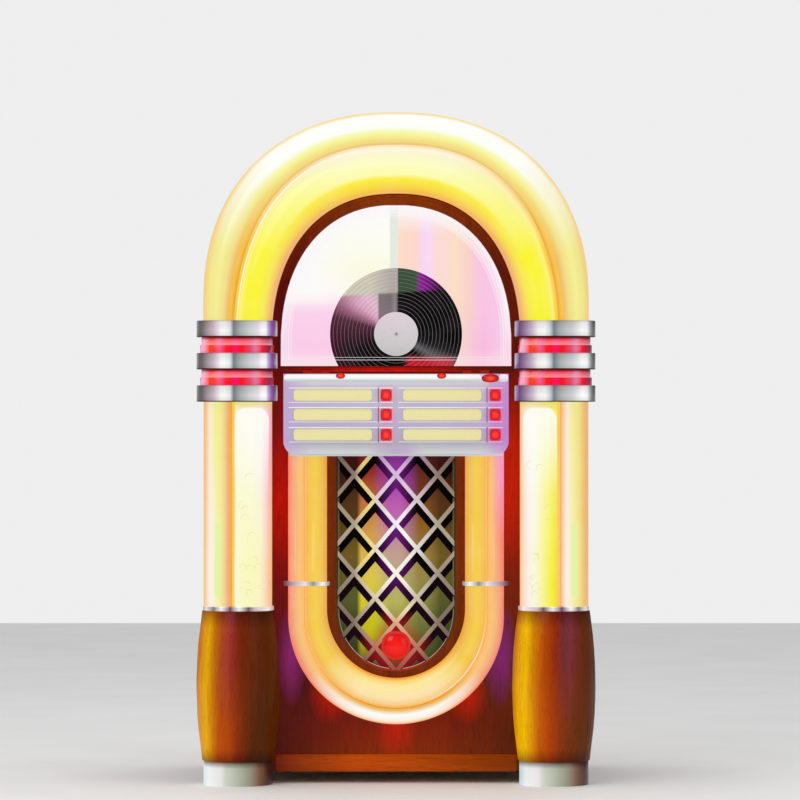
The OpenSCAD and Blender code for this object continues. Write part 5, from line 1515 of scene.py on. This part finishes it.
# ---------------------------------------------------------------- light, floor and camera
def area_light(name, position, aim, size, power):
    """A rectangular light at a position, turned to what it lights."""
    data = bpy.data.lights.new(name, "AREA")
    data.shape = "RECTANGLE"
    data.size, data.size_y = size
    data.energy = power
    obj = bpy.data.objects.new(name, data)
    obj.location = position
    obj.rotation_euler = (Vector(aim) - Vector(position)).to_track_quat("-Z", "Y").to_euler()
    bpy.context.scene.collection.objects.link(obj)


FLOOR_HALF = 7.0


def make_floor():
    """A pale, very slightly mottled studio floor."""
    s = Shader("studio_floor")
    cloud = s.noise(3.0, 3.0)
    colour = s.mix(s.span(cloud, 0.3, 0.7), lin(246, 246, 246), lin(250, 250, 250))
    material = s.surface(colour=colour, rough=s.vary(cloud, 0.7, 0.8),
                         normal=s.bump(s.noise(60.0), 0.02, 0.0005))
    bm = bmesh.new()
    corners = [bm.verts.new((x * FLOOR_HALF, y * FLOOR_HALF, 0.0)) for x,
               y in ((-1, -1), (1, -1), (1, 1), (-1, 1))]
    bm.faces.new(corners)
    mesh = bpy.data.meshes.new("studio_floor")
    bm.to_mesh(mesh)
    bm.free()
    mesh.materials.append(material)
    floor = bpy.data.objects.new("studio_floor", mesh)
    bpy.context.scene.collection.objects.link(floor)


WORLD_SEEN, WORLD_LIGHT, WORLD_REFLECTED = 0.86, 0.62, 0.3


def make_world():
    """Pale all round; dimmer in reflections, so that dark lacquer stays deep."""
    world = bpy.data.worlds.new("studio")
    world.use_nodes = True
    tree = world.node_tree
    back = tree.nodes["Background"]
    back.inputs["Color"].default_value = (1.0, 1.0, 1.0, 1.0)
    ray = tree.nodes.new("ShaderNodeLightPath")
    strength = tree.nodes.new("ShaderNodeMapRange")
    strength.inputs["To Min"].default_value = WORLD_LIGHT
    strength.inputs["To Max"].default_value = WORLD_REFLECTED
    tree.links.new(ray.outputs["Is Glossy Ray"], strength.inputs["Value"])
    pale = tree.nodes.new("ShaderNodeMix")
    tree.links.new(ray.outputs["Is Camera Ray"], pale.inputs[0])
    tree.links.new(strength.outputs["Result"], pale.inputs[2])
    pale.inputs[3].default_value = WORLD_SEEN
    tree.links.new(pale.outputs[0], back.inputs["Strength"])
    bpy.context.scene.world = world


def make_camera():
    """A long lens straight in front, so that the jukebox is seen flat."""
    data = bpy.data.cameras.new("camera")
    data.sensor_width = 36.0
    data.lens = 200.0
    data.clip_end = 60.0
    camera = bpy.data.objects.new("camera", data)
    camera.location = (0.009, FRONT_Y - 10.05, 0.866)
    camera.rotation_euler = (math.radians(90), 0, 0)
    bpy.context.scene.collection.objects.link(camera)
    bpy.context.scene.camera = camera


make_floor()
make_world()
make_camera()
area_light("key", (-2.2, -3.4, 2.9), (0, -0.2, 0.8), (2.2, 2.2), 44)
area_light("fill", (2.8, -3.0, 1.6), (0, -0.2, 0.8), (2.0, 2.4), 14)
area_light("top", (0.0, 0.2, 4.0), (0, 0, 0.8), (2.5, 2.5), 30)
bpy.context.scene.view_settings.view_transform = "Standard"
